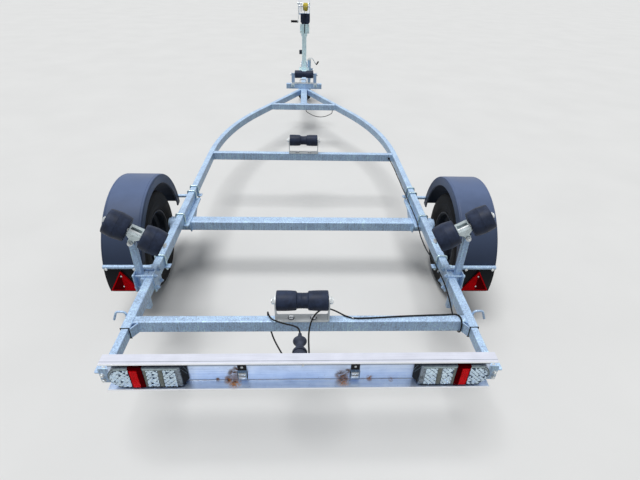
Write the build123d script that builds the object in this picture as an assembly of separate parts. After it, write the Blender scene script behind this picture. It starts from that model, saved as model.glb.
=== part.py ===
"""Boat trailer: two bent rails on a torsion axle, keel rollers, tilting side rollers, winch, jockey wheel.

Millimetres. X to the right, Y forward along the drawbar, Z up from the floor that it stands on.
A station is a distance ahead of the trailer's rear edge, which is the light board's.
"""
import math
import os

from build123d import *

# Overall length and the frame's tubes
LENGTH = 6080.0
REAR = -LENGTH / 2
RAIL_W, RAIL_H, RAIL_WALL, RAIL_CORNER = 40.0, 60.0, 3.0, 5.0
RAIL_TOP, RAIL_OUTER_X = 464.0, 757.0
RAIL_START, RAIL_BEND, RAIL_LAST_RUN = 274.0, 2200.0, 1300.0
BEND_RADIUS, BEND_ANGLE = 2600.0, 26.0
CROSS_W = 40.0
REAR_CROSS, MIDDLE_CROSS, FRONT_CROSS = 306.0, 2190.0, 3570.0
GUSSET_X, GUSSET_Y, GUSSET_H, GUSSET_T = 24.0, 36.0, 48.0, 5.0
BAR_W, BAR_WALL, BAR_CORNER = 70.0, 4.0, 6.0
COUPLING_REACH = 175.0
BAR_END = LENGTH - COUPLING_REACH
TIE_AHEAD, TIE_LENGTH, TIE_H, TIE_D = 680.0, 420.0, 60.0, 40.0
TIE_STATION = FRONT_CROSS + TIE_AHEAD

# Pull-out arms and the light board that they carry
ARM_W, ARM_H, ARM_WALL, ARM_INSERT = 30.0, 50.0, 3.0, 380.0
BOARD_LENGTH, BOARD_H, BOARD_D, BOARD_T = 1424.0, 145.0, 45.0, 2.5
BOARD_TOP, BOARD_LIP = 564.0, 7.0
BRACKET_T, BRACKET_REACH, BRACKET_LAP = 5.0, 36.0, 60.0
LAMP_LENGTH, LAMP_H, LAMP_D, LAMP_END_X, LAMP_Z = 262.0, 104.0, 33.0, 700.0, 480.0
LICENCE_LENGTH = 16.0
CLIP_X, CLIP_Z, CLIP_W, CLIP_H, CLIP_T = (-222.0, 200.0), 472.0, 34.0, 80.0, 2.0
CLIP_PAD_H, CLIP_PAD_T, CLIP_PAD_UP = 38.0, 9.0, 3.0

# Axle, wheels and mudguards
AXLE_STATION, BEAM_STATION = 1185.0, 1272.0
BEAM_W, BEAM_H, BEAM_WALL, BEAM_HALF = 70.0, 60.0, 5.0, 790.0
MOUNT_T, MOUNT_W, MOUNT_REAR, MOUNT_FRONT, MOUNT_WEB, MOUNT_TAPER = 8.0, 98.0, 1180.0, 1540.0, 6.0, 110.0
TYRE_R, TYRE_W, TRACK_X = 302.0, 160.0, 948.0
RIM_R, HUB_R, HUB_BODY_R, HUB_W = 172.0, 62.0, 48.0, 84.0
RIM_HOLES, RIM_HOLE_R, RIM_HOLE_CIRCLE_R = 8, 13.0, 126.0
STUB_R, STUB_GAP = 17.0, 0.05
SWING_T, SWING_BOSS_R, SWING_EYE_R, SWING_CAP = 24.0, 42.0, 32.0, 16.0
GUARD_R, GUARD_T, GUARD_W, GUARD_LIP = 400.0, 4.0, 206.0, 52.0
GUARD_FRONT_ANGLE, GUARD_REAR_ANGLE = 8.0, 192.0
STAY_R, STAY_STRIP_T, STAY_STRIP_W = 11.0, 6.0, 34.0
REFLECTOR_SIDE, REFLECTOR_T, REFLECTOR_Z = 150.0, 7.0, 238.0
UBOLT_R, NUT_FLAT = 5.0, 17.0
MOUNT_BOLTS = (1207.0, 1512.0)

# Rollers under the keel
KEEL_R, KEEL_WAIST_R, KEEL_LENGTH, KEEL_WAIST = 43.0, 33.0, 218.0, 44.0
KEEL_PIN_R, KEEL_AXIS_UP, PIN_GAP = 10.0, 103.0, 0.05
KEEL_GAP, KEEL_STRIP_T, KEEL_STRIP_W, KEEL_BEND = 2.0, 5.0, 46.0, 12.0
KEEL_BOLT_X, TAB_X, TAB_W, TAB_H, FRONT_LEG_W, FRONT_LEG_UP = 48.0, 133.0, 40.0, 44.0, 36.0, 16.0

# Tilting side rollers: name, side, tilt as parked, height of the pivot, spacer between post and rail
POST_STATION, POST_W, POST_WALL, POST_BOTTOM, PIVOT_R = 640.0, 30.0, 3.0, 245.0, 6.0
STRAP_T, ROD_R, ROD_SPREAD = 5.0, 5.0, 27.0
CRADLE_GAP, CRADLE_T, CRADLE_HALF, CRADLE_WAIST, AXLE_UP, CRADLE_LIP = 2.0, 4.0, 30.0, 34.0, 50.0, 36.0
SIDE_R, SIDE_LENGTH, SIDE_GAP, SIDE_PIN_R = 64.0, 100.0, 3.0, 8.0
SIDE_SETS = (("left", -1, 30.4, 655.0, 18.0), ("right", 1, 31.2, 689.0, 2.0))

# Winch post, bow stop and geared winch
WINCH_BACK, WINCH_POST_W, WINCH_POST_TOP = 605.0, 60.0, 1160.0
WINCH_STATION = BAR_END - WINCH_BACK
FOOT_W, FOOT_L, FOOT_T, FOOT_BOLT_R = 145.0, 240.0, 8.0, 6.0
SLEEVE_DOWN, SLEEVE_H, CHEEK_X = 264.0, 150.0, 35.0
SLEEVE_Z = WINCH_POST_TOP - SLEEVE_DOWN
PLATE_X, PLATE_W, PLATE_H, PLATE_T, PLATE_GAP = 5.0, 124.0, 113.0, 4.0, 18.0
STOP_X, STOP_W, STOP_H, STOP_D, STOP_DOWN, STOP_CROWN, CROWN_D = 12.0, 122.0, 104.0, 90.0, 106.0, 18.0, 44.0
STOP_BOTTOM = WINCH_POST_TOP - STOP_DOWN
FRAME_HALF, FRAME_T, FRAME_BACK, FRAME_AHEAD, FRAME_RISE = 71.0, 4.0, 72.0, 108.0, 172.0
FRAME_REAR, FRAME_FRONT = WINCH_STATION - FRAME_BACK, WINCH_STATION + FRAME_AHEAD
FRAME_TOP = WINCH_POST_TOP + FRAME_RISE
DRUM_UP, DRUM_R, DRUM_FLANGE_R, DRUM_W, DRUM_X, COIL_R = 90.0, 16.0, 52.0, 66.0, 15.0, 42.0
DRUM_Z = WINCH_POST_TOP + DRUM_UP
SHAFT_R, SHAFT_GAP = 9.0, 0.05
GEAR_MODULE, GEAR_TEETH, PINION_TEETH, GEAR_X, GEAR_W = 3.0, 40, 10, -48.0, 10.0
CRANK_AHEAD, CRANK_ARM, CRANK_X = 69.0, 215.0, -77.0
CRANK_STATION = WINCH_STATION + CRANK_AHEAD
STRAP_T_W = (2.0, 50.0)

# Jockey wheel
JOCKEY_BACK, JOCKEY_TUBE_R, JOCKEY_WALL, JOCKEY_TOP, JOCKEY_LOW = 455.0, 24.0, 2.5, 566.0, 300.0
JOCKEY_STATION = BAR_END - JOCKEY_BACK
JOCKEY_ARM_OUT, JOCKEY_ARM_DOWN, JOCKEY_GRIP = 103.0, 62.0, 54.0
LEG_GAP, LEG_WALL, CLAMP_T = 0.1, 3.0, 8.0
JOCKEY_R, JOCKEY_W, JOCKEY_TRAIL = 100.0, 50.0, 62.0

# Hooks, plug and cables
HOOK_STATION, HOOK_R, HOOK_DOWN, HOOK_UP = 360.0, 5.0, 44.0, 10.0
HOOK_OUT, HOOK_TIP_OUT, HOOK_TIP_DOWN, HOOK_BEND = 40.0, 58.0, 36.0, 16.0
PLUG_END = 157.0
PLUG_X, PLUG_Z, SOCKET_DEPTH, SOCKET_R, SOCKET_PLATE_W, SOCKET_PLATE_T = -9.0, 500.0, 56.0, 25.0, 58.0, 6.0
PARK_LOW, PARK_H, PARK_FLOOR, PARK_W, PARK_BORE = 670.0, 50.0, 14.0, 38.0, 13.0
LEAD_STATION = 3668.0
CABLE_R = 3.5

RAIL_X = RAIL_OUTER_X - RAIL_W / 2
RAIL_INNER_X = RAIL_OUTER_X - RAIL_W
RAIL_BOTTOM = RAIL_TOP - RAIL_H
RAIL_MID_Z = RAIL_TOP - RAIL_H / 2
ARM_Z = RAIL_TOP - RAIL_WALL - ARM_H / 2
BEAM_Z = RAIL_BOTTOM - MOUNT_T - BEAM_H / 2
BAR_Z = RAIL_TOP - BAR_W / 2
HUB_START = TRACK_X - HUB_W / 2


def at(station):
    """Y of a station."""
    return REAR + station


# Helpers for shapes

def along_x(sketch, x0, x1):
    """Extrude a sketch drawn as (Y, Z) from x0 to x1."""
    plane = Plane(origin=(x0, 0, 0), x_dir=(0, 1, 0), z_dir=(1, 0, 0))
    return extrude(plane * sketch, x1 - x0, dir=(1, 0, 0))


def along_y(sketch, y0, y1):
    """Extrude a sketch drawn as (X, Z) from y0 to y1."""
    plane = Plane(origin=(0, y0, 0), x_dir=(1, 0, 0), z_dir=(0, -1, 0))
    return extrude(plane * sketch, y1 - y0, dir=(0, 1, 0))


def along_z(sketch, z0, z1):
    """Extrude a sketch drawn as (X, Y) from z0 to z1."""
    return extrude(Plane(origin=(0, 0, z0)) * sketch, z1 - z0, dir=(0, 0, 1))


def round_x(radius, x0, x1, y, z):
    """Round bar along X."""
    return along_x(Pos(y, z) * Circle(radius), x0, x1)


def round_y(radius, y0, y1, x, z):
    """Round bar along Y."""
    return along_y(Pos(x, z) * Circle(radius), y0, y1)


def round_z(radius, z0, z1, x, y):
    """Round bar along Z."""
    return along_z(Pos(x, y) * Circle(radius), z0, z1)


def tube_section(width, height, corner, wall):
    """Section of a rounded rectangular tube."""
    inside = RectangleRounded(width - 2 * wall, height - 2 * wall, max(corner - wall, 0.6))
    return RectangleRounded(width, height, corner) - inside


def hexagon(across):
    """Six-sided nut or head, by its width across flats."""
    return RegularPolygon(across / math.sqrt(3), 6, major_radius=True)


def shape(*points):
    """Face with straight edges through the points."""
    return Polygon(*points, align=None)


def turned(points, origin, direction):
    """Full turn of a closed profile of (radius, distance along the axis)."""
    axis = Vector(*direction).normalized()
    helper = Vector(0, 0, 1) if abs(axis.Z) < 0.9 else Vector(0, 1, 0)
    across = helper.cross(axis).normalized()
    plane = Plane(origin=origin, x_dir=across, z_dir=across.cross(axis))
    return revolve(plane * make_face(Polyline(*points, close=True)), Axis(origin, direction), 360)


def swept(points, radii, radius):
    """Round rod along straight runs joined by tangent arcs."""
    path = FilletPolyline(*points, radius=radii)
    return sweep(Plane(origin=path @ 0, z_dir=path % 0) * Circle(radius), path=path)


def hull_of(*circles):
    """Outline around circles given as (across, up, radius)."""
    edges = [edge for a, b, r in circles for edge in (Pos(a, b) * Circle(r)).edges()]
    return make_hull(edges)


def side_of(solid, side):
    """The right-hand solid, or its mirror image for side -1."""
    return solid if side > 0 else mirror(solid, about=Plane.YZ)


def both(solid):
    """A solid and its mirror image across the trailer's middle plane."""
    return [side_of(solid, -1), solid]


NODES = {}


def node(name, *solids):
    """Add solids to a node; like pieces that don't touch share one."""
    flat = NODES.setdefault(name, [])
    for item in solids:
        flat.extend(item if isinstance(item, (list, tuple)) else [item])


def cut_node(name, *tools):
    """Cut holes in a node's solids where bolts and rods pass them."""
    NODES[name] = [solid - list(tools) for solid in NODES[name]]


# Frame

def rail_mid_x(station):
    """X of the right rail's middle line on its last straight run."""
    angle = math.radians(BEND_ANGLE)
    end_x = RAIL_X - BEND_RADIUS * (1 - math.cos(angle))
    return end_x - (station - RAIL_BEND - BEND_RADIUS * math.sin(angle)) * math.tan(angle)


def rail_inner_x(station):
    """X of the right rail's inner face on its last straight run."""
    return rail_mid_x(station) - RAIL_W / 2 / math.cos(math.radians(BEND_ANGLE))


def make_rails():
    first = Line((RAIL_X, at(RAIL_START), RAIL_MID_Z), (RAIL_X, at(RAIL_BEND), RAIL_MID_Z))
    bend = JernArc(start=first @ 1, tangent=(0, 1, 0), radius=BEND_RADIUS, arc_size=BEND_ANGLE)
    last = PolarLine(bend @ 1, RAIL_LAST_RUN, direction=bend % 1)
    plane = Plane(origin=(RAIL_X, at(RAIL_START), RAIL_MID_Z), x_dir=(1, 0, 0), z_dir=(0, 1, 0))
    section = plane * tube_section(RAIL_W, RAIL_H, RAIL_CORNER, RAIL_WALL)
    rail = sweep(section, path=Curve() + [first, bend, last])
    rail = rail - Pos((BAR_W - LENGTH) / 2, at(TIE_STATION), RAIL_MID_Z) * Box(LENGTH, LENGTH, LENGTH)
    screw_y = at(RAIL_START + 40)
    rail = rail - round_z(UBOLT_R, RAIL_BOTTOM - 1, RAIL_BOTTOM + RAIL_WALL + 1, RAIL_X, screw_y)
    node("rail_right", rail)
    node("rail_left", side_of(rail, -1))
    screw = round_z(UBOLT_R, RAIL_BOTTOM - 14, ARM_Z - ARM_H / 2, RAIL_X, screw_y)
    head = along_z(Pos(RAIL_X, screw_y) * hexagon(NUT_FLAT), RAIL_BOTTOM - 14, RAIL_BOTTOM - 7)
    node("frame_bolts", both(screw + head))


def make_cross_members():
    section = tube_section(CROSS_W, RAIL_H, RAIL_CORNER, RAIL_WALL)
    inner = RAIL_INNER_X
    rear = along_x(Pos(at(REAR_CROSS + CROSS_W / 2), RAIL_MID_Z) * section, -inner, inner)
    corner = at(REAR_CROSS)
    gusset = along_z(shape((inner - GUSSET_X, corner), (inner, corner - GUSSET_Y),
                           (inner, corner - GUSSET_Y + 1.8 * GUSSET_T),
                           (inner - GUSSET_X + 1.4 * GUSSET_T, corner)),
                     RAIL_MID_Z - GUSSET_H / 2, RAIL_MID_Z + GUSSET_H / 2)
    node("cross_members", rear + both(gusset))
    middle = along_x(Pos(at(MIDDLE_CROSS + CROSS_W / 2), RAIL_MID_Z) * section, -inner, inner)
    node("cross_members", middle - NODES["rail_right"] - NODES["rail_left"])
    front = along_x(Pos(at(FRONT_CROSS + CROSS_W / 2), RAIL_MID_Z) * section, -inner, inner)
    near, far = rail_inner_x(FRONT_CROSS), rail_inner_x(FRONT_CROSS + CROSS_W)
    y0, y1 = at(FRONT_CROSS), at(FRONT_CROSS + CROSS_W)
    ends = shape((-near, y0), (near, y0), (far, y1), (-far, y1))
    node("cross_members", front & along_z(ends, RAIL_BOTTOM - 1, RAIL_TOP + 1))


def make_drawbar():
    section = Pos(0, BAR_Z) * tube_section(BAR_W, BAR_W, BAR_CORNER, BAR_WALL)
    node("drawbar", along_y(section, at(FRONT_CROSS + CROSS_W), at(BAR_END)))
    section = Pos(at(TIE_STATION), RAIL_TOP + TIE_H / 2) * tube_section(TIE_D, TIE_H, RAIL_CORNER, RAIL_WALL)
    node("front_tie", along_x(section, -TIE_LENGTH / 2, TIE_LENGTH / 2))


# Light board

def make_board():
    for side in (-1, 1):
        arm = along_y(Pos(side * RAIL_X, ARM_Z) * tube_section(ARM_W, ARM_H, 4, ARM_WALL),
                      at(BOARD_D + BRACKET_T), at(RAIL_START + ARM_INSERT))
        node("light_arms", arm)
    low, mid = BOARD_TOP - BOARD_H, BOARD_TOP - BOARD_H / 2
    outer = Pos(at(BOARD_D / 2), mid) * Rectangle(BOARD_D, BOARD_H)
    inside = Pos(at(BOARD_D / 2) - BOARD_T / 2, mid) * Rectangle(BOARD_D - BOARD_T, BOARD_H - 2 * BOARD_T)
    lips = [Pos(at(BOARD_T / 2), z) * Rectangle(BOARD_T, BOARD_LIP)
            for z in (BOARD_TOP - BOARD_LIP / 2, low + BOARD_LIP / 2)]
    groove = Pos(at(8), BOARD_TOP) * Rectangle(2.4, 1.6)
    profile = outer - inside + lips - groove
    node("light_board", along_x(profile, -BOARD_LENGTH / 2, BOARD_LENGTH / 2))
    x0, x1 = BOARD_LENGTH / 2 - BRACKET_LAP, RAIL_X + ARM_W / 2
    upright = along_y(Pos((x0 + x1) / 2, ARM_Z + 12) * RectangleRounded(x1 - x0, ARM_H + 26, 6),
                      at(BOARD_D), at(BOARD_D + BRACKET_T))
    ledge = along_z(Pos(x1 - 12, at(BOARD_D + BRACKET_REACH / 2)) * RectangleRounded(58, BRACKET_REACH, 5),
                    ARM_Z + ARM_H / 2, ARM_Z + ARM_H / 2 + BRACKET_T)
    node("board_brackets", both(upright + ledge))
    front = at(BOARD_D - BOARD_T)
    make_lamps(front, LAMP_Z)
    for x in CLIP_X:
        clip = along_y(Pos(x, CLIP_Z) * Rectangle(CLIP_W, CLIP_H), front - CLIP_T, front)
        pad_z = CLIP_Z - CLIP_H / 2 + CLIP_PAD_UP + CLIP_PAD_H / 2
        node("board_brackets",
             clip + along_y(Pos(x, pad_z) * Rectangle(CLIP_W, CLIP_PAD_H), front - CLIP_PAD_T, front))


def make_lamps(front, mid):
    """Lamps with a round outer end and a slanted licence light at the inner end."""
    half = LAMP_H / 2
    x_end = LAMP_END_X - half
    straight = LAMP_LENGTH - half
    outline = Pos(x_end - straight / 2, mid) * Rectangle(straight, LAMP_H) + Pos(x_end, mid) * Circle(half)
    body = along_y(outline, front - LAMP_D, front)
    rim = body.faces().sort_by(Axis.Y)[0].edges()
    body = fillet(rim, 3)
    inner = LAMP_END_X - LAMP_LENGTH
    wedge = shape((inner, front), (inner, front - LAMP_D + 4), (inner - LICENCE_LENGTH, front - 3),
                  (inner - LICENCE_LENGTH, front))
    node("lamps", both(body + along_z(wedge, mid - half + 6, mid + half - 6)))


# Axle, wheels and mudguards

def make_axle():
    section = Pos(at(BEAM_STATION), BEAM_Z) * tube_section(BEAM_W, BEAM_H, 6, BEAM_WALL)
    axle = along_x(section, -BEAM_HALF, BEAM_HALF)
    x0 = RAIL_INNER_X - 28
    y0, y1 = at(MOUNT_REAR), at(MOUNT_FRONT)
    top = RAIL_BOTTOM - MOUNT_T
    plate = along_z(Pos(x0 + MOUNT_W / 2, (y0 + y1) / 2) * RectangleRounded(MOUNT_W, y1 - y0, 10),
                    top, RAIL_BOTTOM)
    half = BEAM_W / 2
    low = BEAM_Z - BEAM_H / 2 - 4
    cheek = shape((y0 + 14, top), (y1 - MOUNT_TAPER, top), (at(BEAM_STATION) + half + 16, low),
                  (at(BEAM_STATION) - half - 8, low))
    web = along_x(cheek - Pos(at(BEAM_STATION), BEAM_Z) * RectangleRounded(BEAM_W, BEAM_H, 6),
                  x0, x0 + MOUNT_WEB)
    node("axle_beam", axle + both(plate) + both(web))
    y, z = at(AXLE_STATION), TYRE_R
    blade = along_x(hull_of((at(BEAM_STATION), BEAM_Z, SWING_BOSS_R), (y, z, SWING_EYE_R)),
                    BEAM_HALF, BEAM_HALF + SWING_T)
    cap = round_x(SWING_BOSS_R - 8, BEAM_HALF + SWING_T, BEAM_HALF + SWING_T + SWING_CAP,
                  at(BEAM_STATION), BEAM_Z)
    shoulder = round_x(STUB_R + 7, BEAM_HALF + SWING_T, HUB_START - 1, y, z)
    stub = round_x(STUB_R, BEAM_HALF + SWING_T, TRACK_X + HUB_W / 2 - 14, y, z)
    node("swing_arms", both(blade + cap + shoulder + stub))


def make_wheels():
    origin = (TRACK_X, at(AXLE_STATION), TYRE_R)
    half = TYRE_W / 2
    right_side = ((RIM_R, half - 26), (RIM_R + 14, half - 14), (232, half), (TYRE_R - 36, half - 6),
                  (TYRE_R - 10, half - 16), (TYRE_R, half - 30))
    mirrored = tuple((r, -a) for r, a in reversed(right_side))
    tyre = turned(right_side + mirrored, origin, (1, 0, 0))
    bead = ((RIM_R, 36), (RIM_R, half - 26), (RIM_R + 6, half - 16), (RIM_R + 9, half - 16),
            (RIM_R + 9, half - 13), (RIM_R + 2, half - 13), (RIM_R - 5, half - 26), (RIM_R - 5, 32))
    well = ((RIM_R - 24, 22), (RIM_R - 24, -8), (RIM_R - 5, -18))
    back = tuple((r, -a) for r, a in reversed(bead[1:7]))
    rim = turned(bead + well + back + ((RIM_R, -22), (RIM_R - 19, -12), (RIM_R - 19, 26)), origin, (1, 0, 0))
    disc = ((RIM_R - 21, 16), (RIM_R - 30, 16), (120, 24), (96, 30), (78, 30), (74, 20), (HUB_R, 20),
            (HUB_R, 26), (70, 26), (74, 36), (100, 36), (124, 30), (RIM_R - 28, 21), (RIM_R - 21, 21))
    rim = rim + turned(disc, origin, (1, 0, 0))
    turns = [i * math.tau / RIM_HOLES for i in range(RIM_HOLES)]
    holes = [round_x(RIM_HOLE_R, TRACK_X + 10, TRACK_X + 40, origin[1] + RIM_HOLE_CIRCLE_R * math.cos(turn),
                     origin[2] + RIM_HOLE_CIRCLE_R * math.sin(turn)) for turn in turns]
    bore, end = STUB_R + STUB_GAP, HUB_W / 2
    hub = turned(((bore, -end), (HUB_BODY_R, -end), (HUB_BODY_R, 10), (HUB_R, 10), (HUB_R, 20),
                  (HUB_BODY_R, 20), (HUB_BODY_R - 4, end), (30, end), (30, end + 12), (26, end + 20),
                  (0, end + 20), (0, end - 8), (bore, end - 8)), origin, (1, 0, 0))
    for name, side in (("left", -1), ("right", 1)):
        node("tyre_" + name, side_of(tyre, side))
        node("rim_" + name, side_of(rim - holes, side))
        node("hub_" + name, side_of(hub, side))


def stay_places():
    """Stations of the stays that touch the mudguard from outside, and their height."""
    z = RAIL_BOTTOM - STAY_R
    reach = math.sqrt((GUARD_R + STAY_R + 0.3) ** 2 - (z - TYRE_R) ** 2)
    return (AXLE_STATION - reach, AXLE_STATION + reach), z


def make_mudguards():
    origin = (TRACK_X, at(AXLE_STATION), TYRE_R)
    half, deep = GUARD_W / 2, GUARD_R - GUARD_LIP
    outer = ((deep, half), (GUARD_R - 14, half), (GUARD_R - 4, half - 5), (GUARD_R, half - 16))
    inner = ((GUARD_R - GUARD_T, half - 17), (GUARD_R - GUARD_T - 3, half - GUARD_T - 4),
             (GUARD_R - 15, half - GUARD_T), (deep, half - GUARD_T))
    points = (outer + tuple((r, -a) for r, a in reversed(outer))
              + tuple((r, -a) for r, a in reversed(inner)) + inner)
    turn = math.radians(GUARD_FRONT_ANGLE)
    plane = Plane(origin=origin, x_dir=(0, math.cos(turn), math.sin(turn)),
                  z_dir=(0, -math.sin(turn), math.cos(turn)))
    face = plane * make_face(Polyline(*points, close=True))
    guard = revolve(face, Axis(origin, (1, 0, 0)), GUARD_REAR_ANGLE - GUARD_FRONT_ANGLE)
    node("mudguards", both(guard))
    stations, z = stay_places()
    strip_z = RAIL_BOTTOM - STAY_STRIP_T / 2
    for station in stations:
        x0, x1 = RAIL_OUTER_X + 18, RAIL_OUTER_X + 50
        strip = Pos(at(station), strip_z) * RectangleRounded(STAY_STRIP_W, STAY_STRIP_T, 2)
        ring = Pos(at(station), z) * RectangleRounded(2 * STAY_R, 2 * STAY_R, STAY_R - 0.5)
        planes = [Plane(origin=(x, 0, 0), x_dir=(0, 1, 0), z_dir=(1, 0, 0)) for x in (x0, x1)]
        bar = loft([planes[0] * strip, planes[1] * ring])
        bar = bar + along_x(ring, x1, TRACK_X + half - 8) + along_x(strip, RAIL_INNER_X - 26, x0)
        node("mudguard_stays", both(bar))
    tall = REFLECTOR_SIDE * math.sqrt(3) / 2
    mid, rear = TRACK_X + 12, at(AXLE_STATION) - GUARD_R
    outline = shape((mid - REFLECTOR_SIDE / 2, REFLECTOR_Z), (mid + REFLECTOR_SIDE / 2, REFLECTOR_Z),
                    (mid, REFLECTOR_Z + tall))
    node("reflectors", both(along_y(outline, rear - REFLECTOR_T, rear)))


def make_rail_bolts():
    """U-bolts over the rails, on the mudguard stays and on the axle's plates."""
    stays, _ = stay_places()
    places = ((stays[0], STAY_STRIP_T, "mudguard_stays"), (MOUNT_BOLTS[0], MOUNT_T, "axle_beam"),
              (MOUNT_BOLTS[1], MOUNT_T, "axle_beam"), (stays[1], STAY_STRIP_T, "mudguard_stays"))
    xa, xb = RAIL_OUTER_X + UBOLT_R, RAIL_INNER_X - UBOLT_R
    for station, under, held in places:
        y, low = at(station), RAIL_BOTTOM - under
        rod = swept([(xa, y, low - 18), (xa, y, RAIL_TOP + UBOLT_R), (xb, y, RAIL_TOP + UBOLT_R),
                     (xb, y, low - 18)], UBOLT_R + RAIL_CORNER, UBOLT_R)
        legs = [round_z(UBOLT_R, low - 20, RAIL_BOTTOM + 2, x, y) for x in (xa, xb)]
        cut_node(held, *[side_of(leg, side) for leg in legs for side in (-1, 1)])
        nuts = [along_z(Pos(x, y) * hexagon(NUT_FLAT), low - 10, low) for x in (xa, xb)]
        node("frame_bolts", both(rod + nuts))


# Keel rollers

def make_keel_rollers():
    half = KEEL_LENGTH / 2 + KEEL_GAP
    out = half + KEEL_STRIP_T
    end, waist = KEEL_LENGTH / 2, KEEL_WAIST / 2
    bore = KEEL_PIN_R + PIN_GAP
    edge = ((bore, end), (KEEL_R - 4, end), (KEEL_R, end - 4), (KEEL_R, waist + 44), (KEEL_R - 3, waist + 3),
            (KEEL_WAIST_R, waist))
    profile = edge + tuple((r, -a) for r, a in reversed(edge))
    rows = (("rear", REAR_CROSS + CROSS_W / 2, RAIL_TOP), ("middle", MIDDLE_CROSS + CROSS_W / 2, RAIL_TOP),
            ("front", TIE_STATION, RAIL_TOP + TIE_H))
    for name, station, base in rows:
        y, z = at(station), base + KEEL_AXIS_UP
        node("keel_roller_" + name, turned(profile, (0, y, z), (1, 0, 0)))
        tall = KEEL_AXIS_UP + KEEL_STRIP_W
        section = (Pos(0, base + tall) * RectangleRounded(2 * out, 2 * tall, KEEL_BEND)
                   - Pos(0, base + tall) * RectangleRounded(2 * half, 2 * (tall - KEEL_STRIP_T),
                                                            KEEL_BEND - KEEL_STRIP_T))
        ear = hull_of((y, z, KEEL_STRIP_W / 2), (y, base, KEEL_STRIP_W / 2))
        bracket = along_y(section, y - KEEL_STRIP_W / 2, y + KEEL_STRIP_W / 2) & along_x(ear, -out, out)
        reach = out
        if name == "front":
            reach = half + FRONT_LEG_W
            bracket = bracket + front_tabs(y, base) + front_legs(y, base, half)
        pin = round_x(KEEL_PIN_R, -reach - 14, reach + 14, y, z)
        bracket = bracket - pin
        bolts = keel_bolts(name, y, base)
        node("keel_brackets", bracket - bolts)
        for side in (-1, 1):
            x = side * (reach + 5.5)
            pin = pin + along_x(Pos(y, z) * hexagon(28), x - 5.5, x + 5.5)
        node("roller_pins", pin)


def front_tabs(y, base):
    """Wider foot with two tabs that fold down over the front tie's rear face."""
    rear = y - TIE_D / 2
    foot = along_z(Pos(0, y - 1) * Rectangle(2 * TAB_X + TAB_W, TIE_D + 2), base, base + KEEL_STRIP_T)
    tab = along_y(Pos(TAB_X, base + KEEL_STRIP_T - TAB_H / 2) * Rectangle(TAB_W, TAB_H),
                  rear - KEEL_STRIP_T, rear)
    foot = foot + along_z(Pos(0, rear) * Rectangle(2 * TAB_X + TAB_W, 2 * KEEL_STRIP_T),
                          base, base + KEEL_STRIP_T)
    return foot + both(tab)


def front_legs(y, base, half):
    """Channel-shaped legs of the front bracket, open to the front."""
    rear, outer = y - KEEL_STRIP_W / 2, half + FRONT_LEG_W
    low, top = base, base + KEEL_AXIS_UP + FRONT_LEG_UP
    flange = along_z(Pos(half + FRONT_LEG_W / 2, rear + KEEL_STRIP_T / 2)
                     * Rectangle(FRONT_LEG_W, KEEL_STRIP_T), low, top)
    web = along_z(Pos(outer - KEEL_STRIP_T / 2, y) * Rectangle(KEEL_STRIP_T, KEEL_STRIP_W), low, top)
    return both(flange + web)


def keel_bolts(name, y, base):
    """Bolts of one keel bracket: down into a cross-member, or through the front tie."""
    bolts = []
    for side in (-1, 1):
        if name == "front":
            x, z = side * TAB_X, base - TIE_H / 2 + 6
            rear, front = y - TIE_D / 2 - KEEL_STRIP_T, y + TIE_D / 2
            rod = round_y(UBOLT_R, rear - 10, front + 10, x, z)
            bolt = (rod + round_y(13, rear - 2.5, rear, x, z)
                    + along_y(Pos(x, z) * hexagon(NUT_FLAT), front, front + 8))
            bolt = bolt + along_y(Pos(x, z) * hexagon(NUT_FLAT), rear - 9, rear - 2.5)
            cut_node("front_tie", rod)
        else:
            x, top = side * KEEL_BOLT_X, base + KEEL_STRIP_T
            rod = round_z(UBOLT_R, base - RAIL_WALL - 8, top + 2, x, y)
            bolt = rod + round_z(9, top, top + 5, x, y)
            cut_node("cross_members", rod)
        bolts.append(bolt)
    node("frame_bolts", bolts)
    return bolts


# Tilting side rollers

def make_side_rollers():
    reach = POST_W / 2 + CRADLE_GAP + CRADLE_T + 12
    for name, side, tilt, pivot_z, spacer in SIDE_SETS:
        face = RAIL_OUTER_X + spacer
        post_x, y = face + POST_W / 2, at(POST_STATION)
        post = along_z(Pos(post_x, y) * tube_section(POST_W, POST_W, 4, POST_WALL), POST_BOTTOM, pivot_z + 14)
        bolt = round_y(PIVOT_R, y - reach, y + reach, post_x, pivot_z)
        node("roller_posts", side_of(post - bolt, side))
        heads = [along_y(Pos(post_x, pivot_z) * hexagon(19),
                         y + s * (reach - 3.5) - 3.5, y + s * (reach - 3.5) + 3.5)
                 for s in (-1, 1)]
        node("roller_pins", side_of(bolt + heads, side))
        node("post_clamps", [side_of(item, side) for item in post_clamp(y, face)])
        turn = Pos(post_x, y, pivot_z) * Rot(0, -tilt, 0)
        cradle, axle, rollers = wobble_set()
        node("roller_cradle_" + name, side_of(turn * cradle, side))
        node("roller_axle_" + name, side_of(turn * axle, side))
        node("side_roller_inner_" + name, side_of(turn * rollers[0], side))
        node("side_roller_outer_" + name, side_of(turn * rollers[1], side))


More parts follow.
